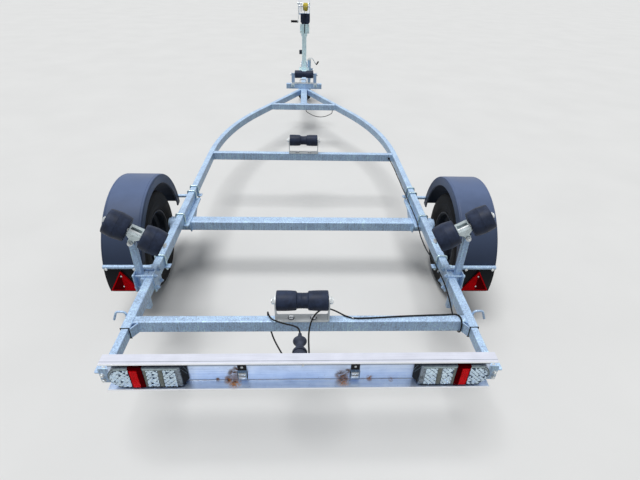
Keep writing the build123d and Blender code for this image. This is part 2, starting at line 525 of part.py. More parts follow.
def post_clamp(y, face):
    """Two plates, a saddle and four long bolts that hold a roller post against the rail."""
    inner, outer = RAIL_INNER_X, face + POST_W
    wide, tall = 2 * ROD_SPREAD + 40, RAIL_H + 4 * ROD_R + 24
    plate = Pos(y, RAIL_MID_Z) * RectangleRounded(wide, tall, 8)
    holes, rods = [], []
    for dy in (-ROD_SPREAD, ROD_SPREAD):
        for z in (RAIL_BOTTOM - ROD_R, RAIL_TOP + ROD_R):
            rod = round_x(ROD_R, inner - STRAP_T - 14, outer + STRAP_T + 10, y + dy, z)
            nut = Pos(y + dy, z) * hexagon(NUT_FLAT)
            holes.append(rod)
            rods.append(rod + along_x(nut, inner - STRAP_T - 8, inner - STRAP_T)
                        + along_x(nut, outer + STRAP_T, outer + STRAP_T + 7))
    saddle = along_x(Pos(y, RAIL_MID_Z) * Rectangle(wide, RAIL_H), RAIL_OUTER_X, face)
    plates = [along_x(plate, x, x + STRAP_T) - holes for x in (inner - STRAP_T, outer)]
    return plates + [saddle] + rods


def wobble_set():
    """Folded cradle, axle and two rollers about a pivot at the origin, with the axle level."""
    inner = POST_W / 2 + CRADLE_GAP
    outer = inner + CRADLE_T
    top = AXLE_UP + 13
    wide, waist = CRADLE_HALF, CRADLE_WAIST
    outline = shape((-13, 0), (13, 0), (13, 20), (wide, waist), (wide, top), (-wide, top),
                    (-wide, waist), (-13, 20))
    outline = outline + Circle(13)
    cradle = along_y(outline, inner, outer) + along_y(outline, -outer, -inner)
    for s in (-1, 1):
        lip = Pos(0, s * (inner + CRADLE_LIP) / 2) * Rectangle(2 * wide, CRADLE_LIP - inner)
        cradle = cradle + along_z(lip, top - CRADLE_T, top)
        end = Pos(0, (waist + top) / 2) * Rectangle(2 * outer, top - waist)
        cradle = cradle + along_x(end, s * (wide - 2.5) - 2.5, s * (wide - 2.5) + 2.5)
    cradle = cradle + along_y(Pos(0, waist + 3) * Rectangle(2 * wide, 6), -outer, outer)
    cradle = cradle - round_y(PIVOT_R + PIN_GAP, -outer - 1, outer + 1, 0, 0)
    reach = CRADLE_HALF + SIDE_GAP + SIDE_LENGTH
    axle = round_x(SIDE_PIN_R, -reach - 14, reach + 14, 0, AXLE_UP)
    cradle = cradle - axle
    bore, half = SIDE_PIN_R + PIN_GAP, SIDE_LENGTH / 2
    profile = ((bore, -half), (SIDE_R - 7, -half), (SIDE_R - 3, -half + 4), (SIDE_R, 0),
               (SIDE_R - 3, half - 4), (SIDE_R - 7, half), (bore, half))
    rollers = []
    for s in (-1, 1):
        axle = axle + along_x(Pos(0, AXLE_UP) * hexagon(24), s * (reach + 7) - 4, s * (reach + 7) + 4)
        rollers.append(turned(profile, (s * (CRADLE_HALF + SIDE_GAP + half), 0, AXLE_UP), (1, 0, 0)))
    return cradle, axle, rollers


# Winch post

def make_winch_post():
    y = at(WINCH_STATION)
    low = RAIL_TOP - BAR_W
    plate = Pos(0, y) * RectangleRounded(FOOT_W, FOOT_L, 8)
    foot = along_z(plate, RAIL_TOP, RAIL_TOP + FOOT_T)
    under = along_z(plate, low - FOOT_T, low)
    bolts, rods = [], []
    for sx in (-1, 1):
        for sy in (-1, 1):
            x, by = sx * (BAR_W / 2 + 14), y + sy * (FOOT_L / 2 - 22)
            rod = round_z(FOOT_BOLT_R, low - FOOT_T - 16, RAIL_TOP + FOOT_T + 8, x, by)
            rods.append(rod)
            head = Pos(x, by) * hexagon(19)
            bolts.append(rod + along_z(head, RAIL_TOP + FOOT_T, RAIL_TOP + FOOT_T + 8)
                         + along_z(head, low - FOOT_T - 10, low - FOOT_T))
    post = along_z(Pos(0, y) * tube_section(WINCH_POST_W, WINCH_POST_W, 6, 4),
                   RAIL_TOP + FOOT_T, WINCH_POST_TOP)
    node("winch_post", post + (foot - rods))
    node("post_under_plate", under - rods)
    node("frame_bolts", bolts)
    make_bow_stop(y)
    make_winch_frame(y)
    make_drum(y)


def make_bow_stop(y):
    """Sleeve with two cheeks and two face plates on the post, and the rubber block that it carries."""
    inside = WINCH_POST_W + 1
    sleeve = along_z(Pos(0, y) * tube_section(inside + 10, inside + 10, 8, 5), SLEEVE_Z, SLEEVE_Z + SLEEVE_H)
    rear = y - inside / 2 - 5
    cheek = shape((rear + 5, SLEEVE_Z + 4), (rear + 5, SLEEVE_Z + SLEEVE_H - 4), (rear - 4, STOP_BOTTOM + 46),
                  (rear - 66, STOP_BOTTOM + 46), (rear - 66, STOP_BOTTOM - 4), (rear - 12, SLEEVE_Z + 8))
    cheeks = [along_x(cheek, x - 2.5, x + 2.5) for x in (-CHEEK_X + 3, CHEEK_X - 3)]
    outline = shape((STOP_X - STOP_W / 2, STOP_BOTTOM + STOP_H), (STOP_X - STOP_W / 2, STOP_BOTTOM + 26),
                    (STOP_X - STOP_W / 2 + 20, STOP_BOTTOM), (STOP_X + STOP_W / 2 - 20, STOP_BOTTOM),
                    (STOP_X + STOP_W / 2, STOP_BOTTOM + 26), (STOP_X + STOP_W / 2, STOP_BOTTOM + STOP_H))
    block = along_y(outline, rear - STOP_D, rear - 2)
    top = STOP_BOTTOM + STOP_H
    block = block + along_z(Pos(STOP_X, rear - STOP_D + CROWN_D / 2) * Rectangle(STOP_W, CROWN_D),
                            top, top + STOP_CROWN)
    vee = shape((STOP_X - STOP_W / 2 + 14, rear - STOP_D - 1), (STOP_X, rear - STOP_D + 34),
                (STOP_X + STOP_W / 2 - 14, rear - STOP_D - 1))
    block = block - along_z(vee, STOP_BOTTOM - 1, top + STOP_CROWN + 1)
    face = Rectangle(PLATE_W, PLATE_H) - Rectangle(PLATE_GAP, PLATE_H)
    plates = along_y(Pos(PLATE_X, SLEEVE_Z + SLEEVE_H - PLATE_H / 2) * face, rear - PLATE_T, rear)
    node("bow_stop_bracket", sleeve + cheeks + plates)
    node("bow_stop", block - cheeks)


def make_winch_frame(y):
    """Folded steel winch frame with holes for its two shafts."""
    z0 = WINCH_POST_TOP
    tall = FRAME_TOP - z0
    section = (Pos(0, z0 + tall) * RectangleRounded(2 * FRAME_HALF, 2 * tall, 10)
               - Pos(0, z0 + tall) * RectangleRounded(2 * (FRAME_HALF - FRAME_T), 2 * (tall - FRAME_T), 6))
    y0, y1 = at(FRAME_REAR), at(FRAME_FRONT)
    outline = shape((y0, z0), (y1, z0), (y1, z0 + 70), (y1 - 8, FRAME_TOP - 26), (y1 - 34, FRAME_TOP - 8),
                    (y - 20, FRAME_TOP), (y - 44, FRAME_TOP - 14), (y0, z0 + 50))
    frame = along_y(section, y0, y1) & along_x(outline, -FRAME_HALF, FRAME_HALF)
    hole = SHAFT_R + SHAFT_GAP
    frame = frame - round_x(hole, -FRAME_HALF - 1, FRAME_HALF + 1, y, DRUM_Z)
    node("winch_frame", frame - round_x(hole, -FRAME_HALF - 1, FRAME_HALF + 1, at(CRANK_STATION), crank_z()))


def crank_z():
    """Height of the crank shaft that puts its pinion in mesh with the drum's gear."""
    centres = GEAR_MODULE * (GEAR_TEETH + PINION_TEETH) / 2 + 0.3
    return DRUM_Z + math.sqrt(centres ** 2 - (CRANK_STATION - WINCH_STATION) ** 2)


def toothed(teeth, phase):
    """Gear outline about the origin, with its first tooth at the phase angle in degrees."""
    pitch = GEAR_MODULE * teeth / 2
    root, tip = pitch - 1.25 * GEAR_MODULE, pitch + 0.8 * GEAR_MODULE
    rows = ((root, 2.5), (pitch, 1.75), (tip, 0.9))
    points = []
    for index in range(teeth):
        middle = math.radians(phase + index * 360 / teeth)
        left = [(r, middle - h / r) for r, h in rows]
        right = [(r, middle + h / r) for r, h in reversed(rows)]
        points += [(r * math.cos(a), r * math.sin(a)) for r, a in left + right]
    return shape(*points)


def make_drum(y):
    """Drum with its gear, the strap wound on it, the strap's hook, and the crank with its pinion."""
    left, right = -FRAME_HALF - 4, FRAME_HALF + 4
    x0, x1 = DRUM_X - DRUM_W / 2, DRUM_X + DRUM_W / 2
    drum = turned(((0, left), (SHAFT_R, left), (SHAFT_R, x0 - 4), (DRUM_FLANGE_R, x0 - 4),
                   (DRUM_FLANGE_R, x0), (DRUM_R, x0), (DRUM_R, x1), (DRUM_FLANGE_R, x1),
                   (DRUM_FLANGE_R, x1 + 4), (SHAFT_R, x1 + 4), (SHAFT_R, right), (0, right)),
                   (0, y, DRUM_Z), (1, 0, 0))
    lean = math.degrees(math.atan2(crank_z() - DRUM_Z, CRANK_STATION - WINCH_STATION))
    gear = along_x(Pos(y, DRUM_Z) * toothed(GEAR_TEETH, lean), GEAR_X, GEAR_X + GEAR_W)
    node("winch_drum", drum + gear)
    coil = ((DRUM_R, x0 + 2), (COIL_R, x0 + 2), (COIL_R, x1 - 2), (DRUM_R, x1 - 2))
    node("strap_coil", turned(coil, (0, y, DRUM_Z), (1, 0, 0)))
    thick, wide = STRAP_T_W
    tail_y = y - COIL_R - 1 - thick / 2
    tail = along_y(Pos(DRUM_X, DRUM_Z - 22) * Rectangle(wide, 48), tail_y - thick / 2, tail_y + thick / 2)
    low = WINCH_POST_TOP + FRAME_T + 4
    hook = swept([(DRUM_X - 12, tail_y, DRUM_Z - 42), (DRUM_X - 12, tail_y, low),
                  (DRUM_X + 16, tail_y, low), (DRUM_X + 16, tail_y, low + 21)], 13, 4)
    node("strap_hook", tail + hook)
    cy, cz = at(CRANK_STATION), crank_z()
    pinion = along_x(Pos(cy, cz) * toothed(PINION_TEETH, lean + 180 + 180 / PINION_TEETH),
                     GEAR_X - 1, GEAR_X + GEAR_W + 1)
    shaft = round_x(SHAFT_R, CRANK_X - 10, right, cy, cz)
    arm = along_x(hull_of((cy, cz, 15), (cy, cz - CRANK_ARM, 12)), CRANK_X - 6, CRANK_X)
    grip = round_x(13, CRANK_X - 102, CRANK_X - 6, cy, cz - CRANK_ARM)
    node("winch_crank", shaft + pinion + arm + grip)


# Coupling and jockey wheel

def make_coupling():
    wide = BAR_W + 12
    sleeve = along_y(Pos(0, BAR_Z) * (RectangleRounded(wide, wide, 9)
                                      - RectangleRounded(BAR_W, BAR_W, BAR_CORNER)),
                     at(BAR_END - 105), at(BAR_END))
    head_r, cup_r = 36.0, 25.2
    ball_y, ball_z = at(LENGTH) - head_r, BAR_Z - 10
    planes = [Plane(origin=(0, y, 0), x_dir=(1, 0, 0), z_dir=(0, -1, 0)) for y in (at(BAR_END), ball_y - 6)]
    neck = loft([planes[0] * (Pos(0, BAR_Z) * RectangleRounded(wide, wide, 9)),
                 planes[1] * (Pos(0, BAR_Z - 4) * RectangleRounded(2 * head_r - 4, 62, 12))])
    head = round_z(head_r, BAR_Z - 41, ball_z, 0, ball_y) + Pos(0, ball_y, ball_z) * Sphere(head_r)
    cup = Pos(0, ball_y, ball_z) * Sphere(cup_r) + round_z(cup_r, BAR_Z - 60, ball_z, 0, ball_y)
    hollow = along_y(Pos(0, BAR_Z - 30) * RectangleRounded(wide - 22, 70, 6),
                     at(BAR_END) - 1, ball_y - head_r - 4)
    node("coupling", sleeve + ((neck - hollow) + head - cup))
    top = BAR_Z + wide / 2
    side_view = shape((at(BAR_END) - 62, top + 22), (at(BAR_END) - 62, top + 34),
                      (at(BAR_END) + 60, top + 24),
                      (at(BAR_END) + 84, top + 6), (at(BAR_END) + 76, top), (at(BAR_END) + 30, top))
    node("coupling_handle", along_x(side_view, -14, 14))


def make_jockey():
    x, y = BAR_W / 2 + CLAMP_T + JOCKEY_TUBE_R + 5, at(JOCKEY_STATION)
    z = BAR_Z
    tube_hole = round_z(JOCKEY_TUBE_R, z - 60, z + 60, x, y)
    bolt_x = x + JOCKEY_TUBE_R + 16
    ring = round_z(JOCKEY_TUBE_R + 7, z - 25, z + 25, x, y)
    lug = along_z(Pos(bolt_x - 4, y) * RectangleRounded(36, 28, 4), z - 25, z + 25)
    bracket = along_x(Pos(y, z) * RectangleRounded(80, 64, 6), BAR_W / 2, BAR_W / 2 + CLAMP_T)
    slit = along_z(Pos(bolt_x, y) * Rectangle(44, 4), z - 60, z + 60)
    bolt = round_y(5, y - 20, y + 40, bolt_x, z)
    node("jockey_clamp", bracket + ring + lug - tube_hole - slit - bolt)
    handle = (bolt + round_x(5, bolt_x - 16, bolt_x + 42, y + 36, z)
              + along_y(Pos(bolt_x, z) * hexagon(16), y - 22, y - 14))
    node("jockey_handles", handle)
    node("jockey_tube", along_z(Pos(x, y) * (Circle(JOCKEY_TUBE_R) - Circle(JOCKEY_TUBE_R - JOCKEY_WALL)),
                                JOCKEY_LOW, JOCKEY_TOP))
    head = (round_z(JOCKEY_TUBE_R + 3, JOCKEY_TOP, JOCKEY_TOP + 14, x, y)
            + round_z(8, JOCKEY_TOP + 14, JOCKEY_TOP + 34, x, y))
    end = (x + JOCKEY_ARM_OUT, y, JOCKEY_TOP - JOCKEY_ARM_DOWN)
    arm = swept([(x, y, JOCKEY_TOP + 26), (x + 42, y, JOCKEY_TOP + 26), end], 18, 6)
    lean = Vector(0.56, 0, 0.83).normalized()
    grip = extrude(Plane(origin=end, z_dir=lean) * Circle(9), JOCKEY_GRIP, dir=lean)
    node("jockey_handles", head + arm + grip)
    leg_r = JOCKEY_TUBE_R - JOCKEY_WALL - LEG_GAP
    fork_top = 2 * JOCKEY_R + 30
    leg = along_z(Pos(x, y) * (Circle(leg_r) - Circle(leg_r - LEG_WALL)), fork_top + 12, JOCKEY_TOP - 96)
    leg = (leg + round_z(leg_r, fork_top + 4, fork_top + 12, x, y)
           + round_z(10, fork_top - 8, fork_top + 4, x, y))
    node("jockey_leg", leg)
    wheel_x, half = x - JOCKEY_TRAIL, JOCKEY_W / 2
    crown = (Pos(x, y) * Circle(30)
             + Pos((x + wheel_x) / 2 - 4, y) * Rectangle(JOCKEY_TRAIL + 8, 2 * half + 18))
    fork = along_z(crown, fork_top - 2, fork_top + 3) - round_z(10.05, fork_top - 20, fork_top + 10, x, y)
    cheek = hull_of((x + 6, fork_top - 14, 14), (wheel_x, JOCKEY_R, 18), (wheel_x - 4, fork_top - 10, 10))
    for s in (-1, 1):
        fork = fork + along_y(cheek, y + s * (half + 6.5) - 2.5, y + s * (half + 6.5) + 2.5)
    node("jockey_fork", fork + round_y(8, y - half - 18, y + half + 18, wheel_x, JOCKEY_R))
    edge = ((8.05, half - 2), (30, half - 2), (34, half - 14), (60, half - 14), (68, half - 4),
            (JOCKEY_R - 12, half), (JOCKEY_R, half - 12))
    profile = edge + tuple((r, -a) for r, a in reversed(edge))
    node("jockey_wheel", turned(profile, (wheel_x, y, JOCKEY_R), (0, 1, 0)))


# Hooks, plug and cables

def make_hooks():
    """Bent rods on the rails' outer faces that a lashing strap goes under."""
    x, y, z = RAIL_OUTER_X + HOOK_R, at(HOOK_STATION), RAIL_TOP
    rod = swept([(x, y, z - HOOK_DOWN), (x, y, z + HOOK_UP), (x + HOOK_OUT, y, z + HOOK_UP),
                 (x + HOOK_TIP_OUT, y, z - HOOK_TIP_DOWN)], HOOK_BEND, HOOK_R)
    node("tie_down_hooks", both(rod))


def make_plug():
    """Socket on the board's front face, the rubber-booted plug in it, and a parking socket on the post."""
    y0 = at(BOARD_D)
    origin = (PLUG_X, y0, PLUG_Z)
    plate = Pos(PLUG_X, PLUG_Z) * RectangleRounded(SOCKET_PLATE_W, SOCKET_PLATE_W, SOCKET_PLATE_W / 7)
    flange = along_y(plate, y0, y0 + SOCKET_PLATE_T)
    node("plug_sockets", flange + round_y(SOCKET_R, y0 + SOCKET_PLATE_T, y0 + SOCKET_DEPTH, PLUG_X, PLUG_Z))
    boot = ((0, SOCKET_DEPTH), (23, SOCKET_DEPTH), (24, 84), (15, 91), (15, 95), (24, 107), (27, 118),
            (26, 127), (20, 139), (10, 148), (7, 152), (7, PLUG_END), (0, PLUG_END))
    node("board_plug", turned(boot, origin, (0, 1, 0)))
    x, y = -(WINCH_POST_W + PARK_W) / 2, at(WINCH_STATION)
    holder = along_z(Pos(x, y) * RectangleRounded(PARK_W, PARK_W, PARK_W / 5), PARK_LOW, PARK_LOW + PARK_H)
    holder = holder - round_z(PARK_BORE, PARK_LOW + PARK_FLOOR, PARK_LOW + PARK_H + 1, x, y)
    node("plug_sockets", holder)


# Cables as (X, station, Z) of the points that their straight runs would meet in
BOARD_LEAD = (
    (PLUG_X, BOARD_D + PLUG_END + 0.3, PLUG_Z), (-11, 232, 499), (-36, 254, 494), (-70, 267, 490),
    (-104, 285, 486), (-132, 306, 481), (-146, 336, 477), (-152, 365, 471), (-153, 373, 433),
    (-148, 361, 396), (-137, 322, 389), (-120, 268, 394), (-98, 212, 406), (-77, 156, 425),
    (-62, 101, 447), (-57, BOARD_D + 1, 460))
RAIL_HARNESS = (
    (30, BOARD_D + 0.5, 470), (29, 92, 466), (27, 148, 463), (26, 204, 464), (28, 252, 470),
    (38, 296, 479), (56, 333, 485), (84, 362, 484), (116, 374, 478), (150, 362, 472), (186, 336, 468.6),
    (219, 323, 468), (262, 322, 468.4), (335, 327, 467.8), (430, 334, 468.4), (522, 339, 467.8),
    (570, 341, 468.3), (628, 342, 468), (690, 348, 469), (692, 295, 473), (692.3, 294, 395),
    (693, 352, 393), (696, 410, 401), (700, 470, 416), (703, 540, 429), (705.5, 606, 432),
    (705, 672, 431), (703.5, 735, 428), (702.3, 793, 429.5), (700, 862, 417), (698.5, 930, 406),
    (699.5, 1000, 402), (698.5, 1070, 405), (700.5, 1140, 417), (702.2, 1207, 429.5), (701.4, 1290, 432),
    (702.2, 1370, 430.5), (701.4, 1445, 431.5), (702.2, 1512, 430), (702, 1586, 431), (701, 1672, 427),
    (702, 1765, 430), (700.8, 1860, 427), (701.6, 1955, 430), (700.4, 2045, 428), (697, 2122, 430),
    (692, 2189.5, 431))
DRAWBAR_LEAD = (
    (rail_mid_x(LEAD_STATION), LEAD_STATION, RAIL_BOTTOM), (rail_mid_x(LEAD_STATION), LEAD_STATION, 376),
    (314, 3656, 350), (280, 3647, 333), (238, 3641, 317), (191, 3640, 310), (144, 3641, 313),
    (100, 3644, 326), (62, 3648, 344), (30, 3652, 362), (22, 3655, 378), (22, 3655, 394))


def cord_radii(points):
    """Bend radius at each inner point: 0.45 of the shorter run there, over the tangent of half the turn."""
    radii = []
    for before, here, after in zip(points, points[1:], points[2:]):
        coming, going = Vector(*here) - Vector(*before), Vector(*after) - Vector(*here)
        half_turn = math.radians(coming.get_angle(going) / 2)
        radii.append(0.45 * min(coming.length, going.length) / math.tan(half_turn))
    return radii


def make_cables():
    for name, route in (("board_lead", BOARD_LEAD), ("rail_harness", RAIL_HARNESS),
                        ("drawbar_lead", DRAWBAR_LEAD)):
        points = [(x, at(station), z) for x, station, z in route]
        radii = cord_radii(points)
        path = FilletPolyline(*points, radius=radii)
        cord = sweep(Plane(origin=path @ 0, z_dir=path % 0) * Circle(CABLE_R), path=path)
        node(name, cord)
        expected = math.pi * CABLE_R ** 2 * path.length
        print(name, "length", round(path.length), "least radius", round(min(radii), 1),
              "volume ratio", round(cord.volume / expected, 4))


def write_nodes():
    os.makedirs("parts", exist_ok=True)
    for name, solids in NODES.items():
        export_step(solids[0] if len(solids) == 1 else Compound(children=solids), f"parts/{name}.step")


make_rails()
make_cross_members()
make_drawbar()
make_board()
make_axle()
make_wheels()
make_mudguards()
make_rail_bolts()
make_keel_rollers()
make_side_rollers()
make_winch_post()
make_coupling()
make_jockey()
make_hooks()
make_plug()
make_cables()
write_nodes()
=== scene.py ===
"""Boat trailer: finishes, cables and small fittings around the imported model, in metres and in its frame."""
import math
import random

import bmesh
import bpy
from bpy.props import FloatProperty, FloatVectorProperty, IntProperty, PointerProperty
from mathutils import Matrix, Vector


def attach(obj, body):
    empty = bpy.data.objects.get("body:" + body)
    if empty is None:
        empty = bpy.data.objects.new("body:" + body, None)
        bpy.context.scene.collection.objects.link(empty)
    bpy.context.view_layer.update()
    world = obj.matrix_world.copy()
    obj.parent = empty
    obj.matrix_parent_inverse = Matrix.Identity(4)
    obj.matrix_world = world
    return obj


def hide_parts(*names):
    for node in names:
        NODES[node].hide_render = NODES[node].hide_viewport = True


bl_info = {
    "name": "Boat Trailer",
    "version": (1, 0, 0),
    "blender": (4, 5, 0),
    "location": "3D View > Sidebar > Trailer",
    "description": "Finishes, cables and small fittings of a boat trailer around its packed model",
    "category": "Object",
}

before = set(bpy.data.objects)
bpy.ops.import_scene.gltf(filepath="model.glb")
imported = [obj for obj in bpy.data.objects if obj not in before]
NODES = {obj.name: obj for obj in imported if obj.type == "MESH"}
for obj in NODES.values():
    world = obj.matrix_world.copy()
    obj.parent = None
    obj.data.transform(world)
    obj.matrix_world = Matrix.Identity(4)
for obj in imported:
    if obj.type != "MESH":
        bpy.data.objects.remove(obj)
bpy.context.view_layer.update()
REAR = -3.04
SIDES = (-1, 1)

# Places that the fittings share with the model: X and Z in metres, stations forward of the rear edge
RAIL_X, RAIL_W, RAIL_TOP, RAIL_LOW = 0.737, 0.040, 0.464, 0.404
AXLE_STATION, AXLE_Z, TRACK_X = 1.185, 0.302, 0.948
LAMP_FACE, LAMP_TOP, LAMP_LOW = 0.0095, 0.532, 0.428
CLIPS = (-0.222, 0.200)
WINCH = (0.015, 5.300, 1.250)
CRANK_STATION, CRANK_Z = 5.369, 1.0652
PLUG_X, PLUG_Z = -0.009, 0.500
STOP_X = 0.012

# Rust on the light board: X, station, z and reach
RUST_SPOTS = (
    (-0.252, 0.026, 0.4215, 0.030), (-0.276, 0.040, 0.4260, 0.022), (-0.256, 0.0425, 0.462, 0.026),
    (-0.240, 0.0425, 0.484, 0.020), (-0.318, 0.042, 0.428, 0.009), (0.158, 0.032, 0.4215, 0.032),
    (0.150, 0.0425, 0.446, 0.030), (0.172, 0.0425, 0.468, 0.016), (0.258, 0.0425, 0.430, 0.016),
    (0.340, 0.036, 0.4230, 0.010))

# Keel rollers: name, station, height of the axis, X of the nuts' inner faces
KEEL_ROWS = (("rear", 0.326, 0.567, 0.116), ("middle", 2.210, 0.567, 0.116), ("front", 4.250, 0.627, 0.147))

# Side rollers: name, side, X and height of the pivot, tilt
SIDE_ROWS = (("left", -1, 0.790, 0.655, 30.4), ("right", 1, 0.774, 0.689, 31.2))
SIDE_STATION, SIDE_UP, SIDE_OUT = 0.640, 0.050, 0.083


def spot(x, station, z):
    """Point of the frame from X, station and Z."""
    return Vector((x, station + REAR, z))


# Sizes and colours that a user may change

class TrailerSizes(bpy.types.PropertyGroup):
    """Sizes of the fittings"""

    cable: FloatProperty(name="Cable diameter", description="Outside diameter of the cables", default=0.007,
                         min=0.004, max=0.012, unit="LENGTH")
    tread_depth: FloatProperty(name="Tread depth", description="Depth of the tyre tread", default=0.007,
                               min=0.002, max=0.010, unit="LENGTH")
    tread_pitches: IntProperty(name="Tread pitches", description="Tread blocks round a tyre", default=72,
                               min=36, max=120)
    facet: FloatProperty(name="Lens facet", description="Width of one facet of the lamp lenses",
                         default=0.0125, min=0.005, max=0.02, unit="LENGTH")
    weld: FloatProperty(name="Weld bead", description="Radius of the weld beads", default=0.0035,
                        min=0.001, max=0.006, unit="LENGTH")


class TrailerColours(bpy.types.PropertyGroup):
    """Colours of the finishes"""

    galvanised: FloatVectorProperty(name="Galvanised steel", description="Middle tone of the zinc coat",
                                    default=(0.47, 0.64, 0.88), subtype="COLOR", min=0, max=1)
    bright: FloatVectorProperty(name="Bright zinc", description="Bolts, nuts and folded brackets",
                                default=(0.72, 0.75, 0.76), subtype="COLOR", min=0, max=1)
    board: FloatVectorProperty(name="Light board", description="Worn top flange of the light board",
                               default=(0.73, 0.75, 0.85), subtype="COLOR", min=0, max=1)
    plastic: FloatVectorProperty(name="Mudguard plastic", description="Slate black of the mudguards",
                                 default=(0.058, 0.080, 0.140), subtype="COLOR", min=0, max=1)
    rubber: FloatVectorProperty(name="Roller rubber", description="Rollers and bow stop",
                                default=(0.024, 0.034, 0.066), subtype="COLOR", min=0, max=1)
    red: FloatVectorProperty(name="Lens red", description="Red lenses and reflectors",
                             default=(0.56, 0.002, 0.006), subtype="COLOR", min=0, max=1)
    strap: FloatVectorProperty(name="Winch strap", description="Woven strap on the winch drum",
                               default=(0.78, 0.62, 0.06), subtype="COLOR", min=0, max=1)
    rust: FloatVectorProperty(name="Rust", description="Stains beside the clips of the light board",
                              default=(0.62, 0.27, 0.10), subtype="COLOR", min=0, max=1)


class TrailerStage(bpy.types.PropertyGroup):
    """Camera, floor and light"""

    lens: FloatProperty(name="Lens", description="Focal length on a 36 mm sensor", default=23.66,
                        min=10, max=80, unit="CAMERA")
    floor: FloatVectorProperty(name="Floor", description="Colour of the plain floor",
                               default=(0.74, 0.74, 0.73), subtype="COLOR", min=0, max=1)
    ground: FloatVectorProperty(name="Ground light", description="Light that the floor throws back",
                                default=(0.11, 0.13, 0.12), subtype="COLOR", min=0, max=1)
    sky: FloatProperty(name="Sky", description="Strength of the even light from all round", default=0.32,
                       min=0, max=2)
    key: FloatProperty(name="Key", description="Strength of the soft light from above", default=2.35,
                       min=0, max=6)


# Shader helpers

def shade(colour, factor):
    """Colour made darker or lighter."""
    return tuple(min(1.0, c * factor) for c in colour)


class Nodes:
    """The nodes of one tree, added and linked a step at a time."""

    def __init__(self, tree):
        self.tree = tree

    def add(self, kind, inputs=(), **settings):
        """New node with its settings, its inputs linked or set."""
        made = self.tree.nodes.new(kind)
        for key, value in settings.items():
            setattr(made, key, value)
        for key, value in dict(inputs).items():
            if isinstance(value, bpy.types.NodeSocket):
                self.tree.links.new(value, made.inputs[key])
            else:
                made.inputs[key].default_value = value
        return made

    def calc(self, operation, a, b=0.0):
        return self.add("ShaderNodeMath", {0: a, 1: b}, operation=operation).outputs[0]

    def seen(self):
        """1 for a ray from the camera, a mirror or a clear solid, and 0 for light on the trailer."""
        path = self.add("ShaderNodeLightPath").outputs
        direct = self.calc("MAXIMUM", path["Is Camera Ray"], path["Is Glossy Ray"])
        return self.calc("MAXIMUM", direct, path["Is Transmission Ray"])


class Finish(Nodes):
    """A material that is built on the piece's own coordinates."""

    def __init__(self, name, **shader):
        self.material = bpy.data.materials.new(name)
        self.material.use_nodes = True
        super().__init__(self.material.node_tree)
        self.shader = self.tree.nodes["Principled BSDF"]
        for socket, value in shader.items():
            self.shader.inputs[socket.replace("_", " ")].default_value = value
        self.place = self.add("ShaderNodeTexCoord").outputs["Object"]
        _, self.y, self.z = self.add("ShaderNodeSeparateXYZ", {0: self.place}).outputs

    def noise(self, scale, detail, rough, stretch=None):
        """Cloudy grey from 0 to 1, with a scale of its own along each axis where stretch is given."""
        place = self.place
        if stretch:
            place = self.add("ShaderNodeMapping", {"Vector": place, "Scale": stretch}).outputs[0]
        return self.add("ShaderNodeTexNoise", {"Vector": place, "Scale": scale, "Detail": detail,
                                               "Roughness": rough}).outputs["Fac"]

    def flakes(self, scale):
        """A random grey for each cell of a crystal pattern."""
        cells = self.add("ShaderNodeTexVoronoi", {"Vector": self.place, "Scale": scale})
        return self.add("ShaderNodeRGBToBW", {"Color": cells.outputs["Color"]}).outputs[0]

    def total(self, *terms):
        """Sum of values, each with its weight."""
        result, *others = [self.calc("MULTIPLY", value, weight) for value, weight in terms]
        for part in others:
            result = self.calc("ADD", result, part)
        return result

    def span(self, value, low, high, to_low=0.0, to_high=1.0):
        """Value moved from one range to another, held at the ends."""
        return self.add("ShaderNodeMapRange", {"Value": value, "From Min": low, "From Max": high,
                                               "To Min": to_low, "To Max": to_high}).outputs[0]

    def mix(self, factor, a, b):
        """Mix of two colours."""
        node = self.add("ShaderNodeMix", data_type="RGBA")
        for socket, value in ((node.inputs[0], factor), (node.inputs[6], a), (node.inputs[7], b)):
            if isinstance(value, bpy.types.NodeSocket):
                self.tree.links.new(value, socket)
            else:
                socket.default_value = (*value, 1.0)
        return node.outputs[2]

    def ramp(self, factor, *stops):
        """Colour ramp with stops of (position, colour)."""
        node = self.add("ShaderNodeValToRGB", {"Fac": factor})
        points = node.color_ramp.elements
        while len(points) < len(stops):
            points.new(0.5)
        for point, (position, colour) in zip(points, stops):
            point.position = position
            point.color = (*colour, 1.0)
        return node.outputs["Color"]

    def shades(self, factor, colour, *stops):
        """Ramp through shades of one colour, with stops of (position, shade)."""
        return self.ramp(factor, *((position, shade(colour, level)) for position, level in stops))

    def link(self, socket, value):
        self.tree.links.new(value, self.shader.inputs[socket])

    def coat(self, colour, rough, bump, strength, distance):
        """Last step: the colour, the roughness where it varies, and the bump."""
        self.link("Base Color", colour)
        if rough is not None:
            self.link("Roughness", rough)
        self.link("Normal", self.add("ShaderNodeBump", {"Height": bump, "Strength": strength,
                                                        "Distance": distance}).outputs[0])
        return self.material


def galvanised_steel(name, colour, flake=170.0, contrast=1.0, metal=0.14):
    """Hot-dipped zinc: fine crystal flakes, cloudy patches and runs down the sides."""
    finish = Finish(name, Metallic=metal, Roughness=0.42)
    flakes = finish.flakes(flake)
    fine = finish.noise(420.0, 2.0, 0.6)
    clouds = finish.noise(11.0, 4.0, 0.6)
    runs = finish.noise(1.0, 3.0, 0.55, (210.0, 210.0, 9.0))
    tone = finish.total((flakes, 0.20), (fine, 0.22), (clouds, 0.30), (runs, 0.42))
    spread = 0.15 / contrast
    tone = finish.span(tone, 0.56 - spread, 0.56 + spread)
    colour = finish.shades(tone, colour, (0.0, 0.60), (0.4, 0.92), (0.75, 1.14), (1.0, 1.50))
    rough = finish.span(finish.calc("ADD", flakes, clouds), 0.6, 1.5, 0.30, 0.52)
    return finish.coat(colour, rough, finish.calc("ADD", fine, flakes), 0.12, 0.0008)


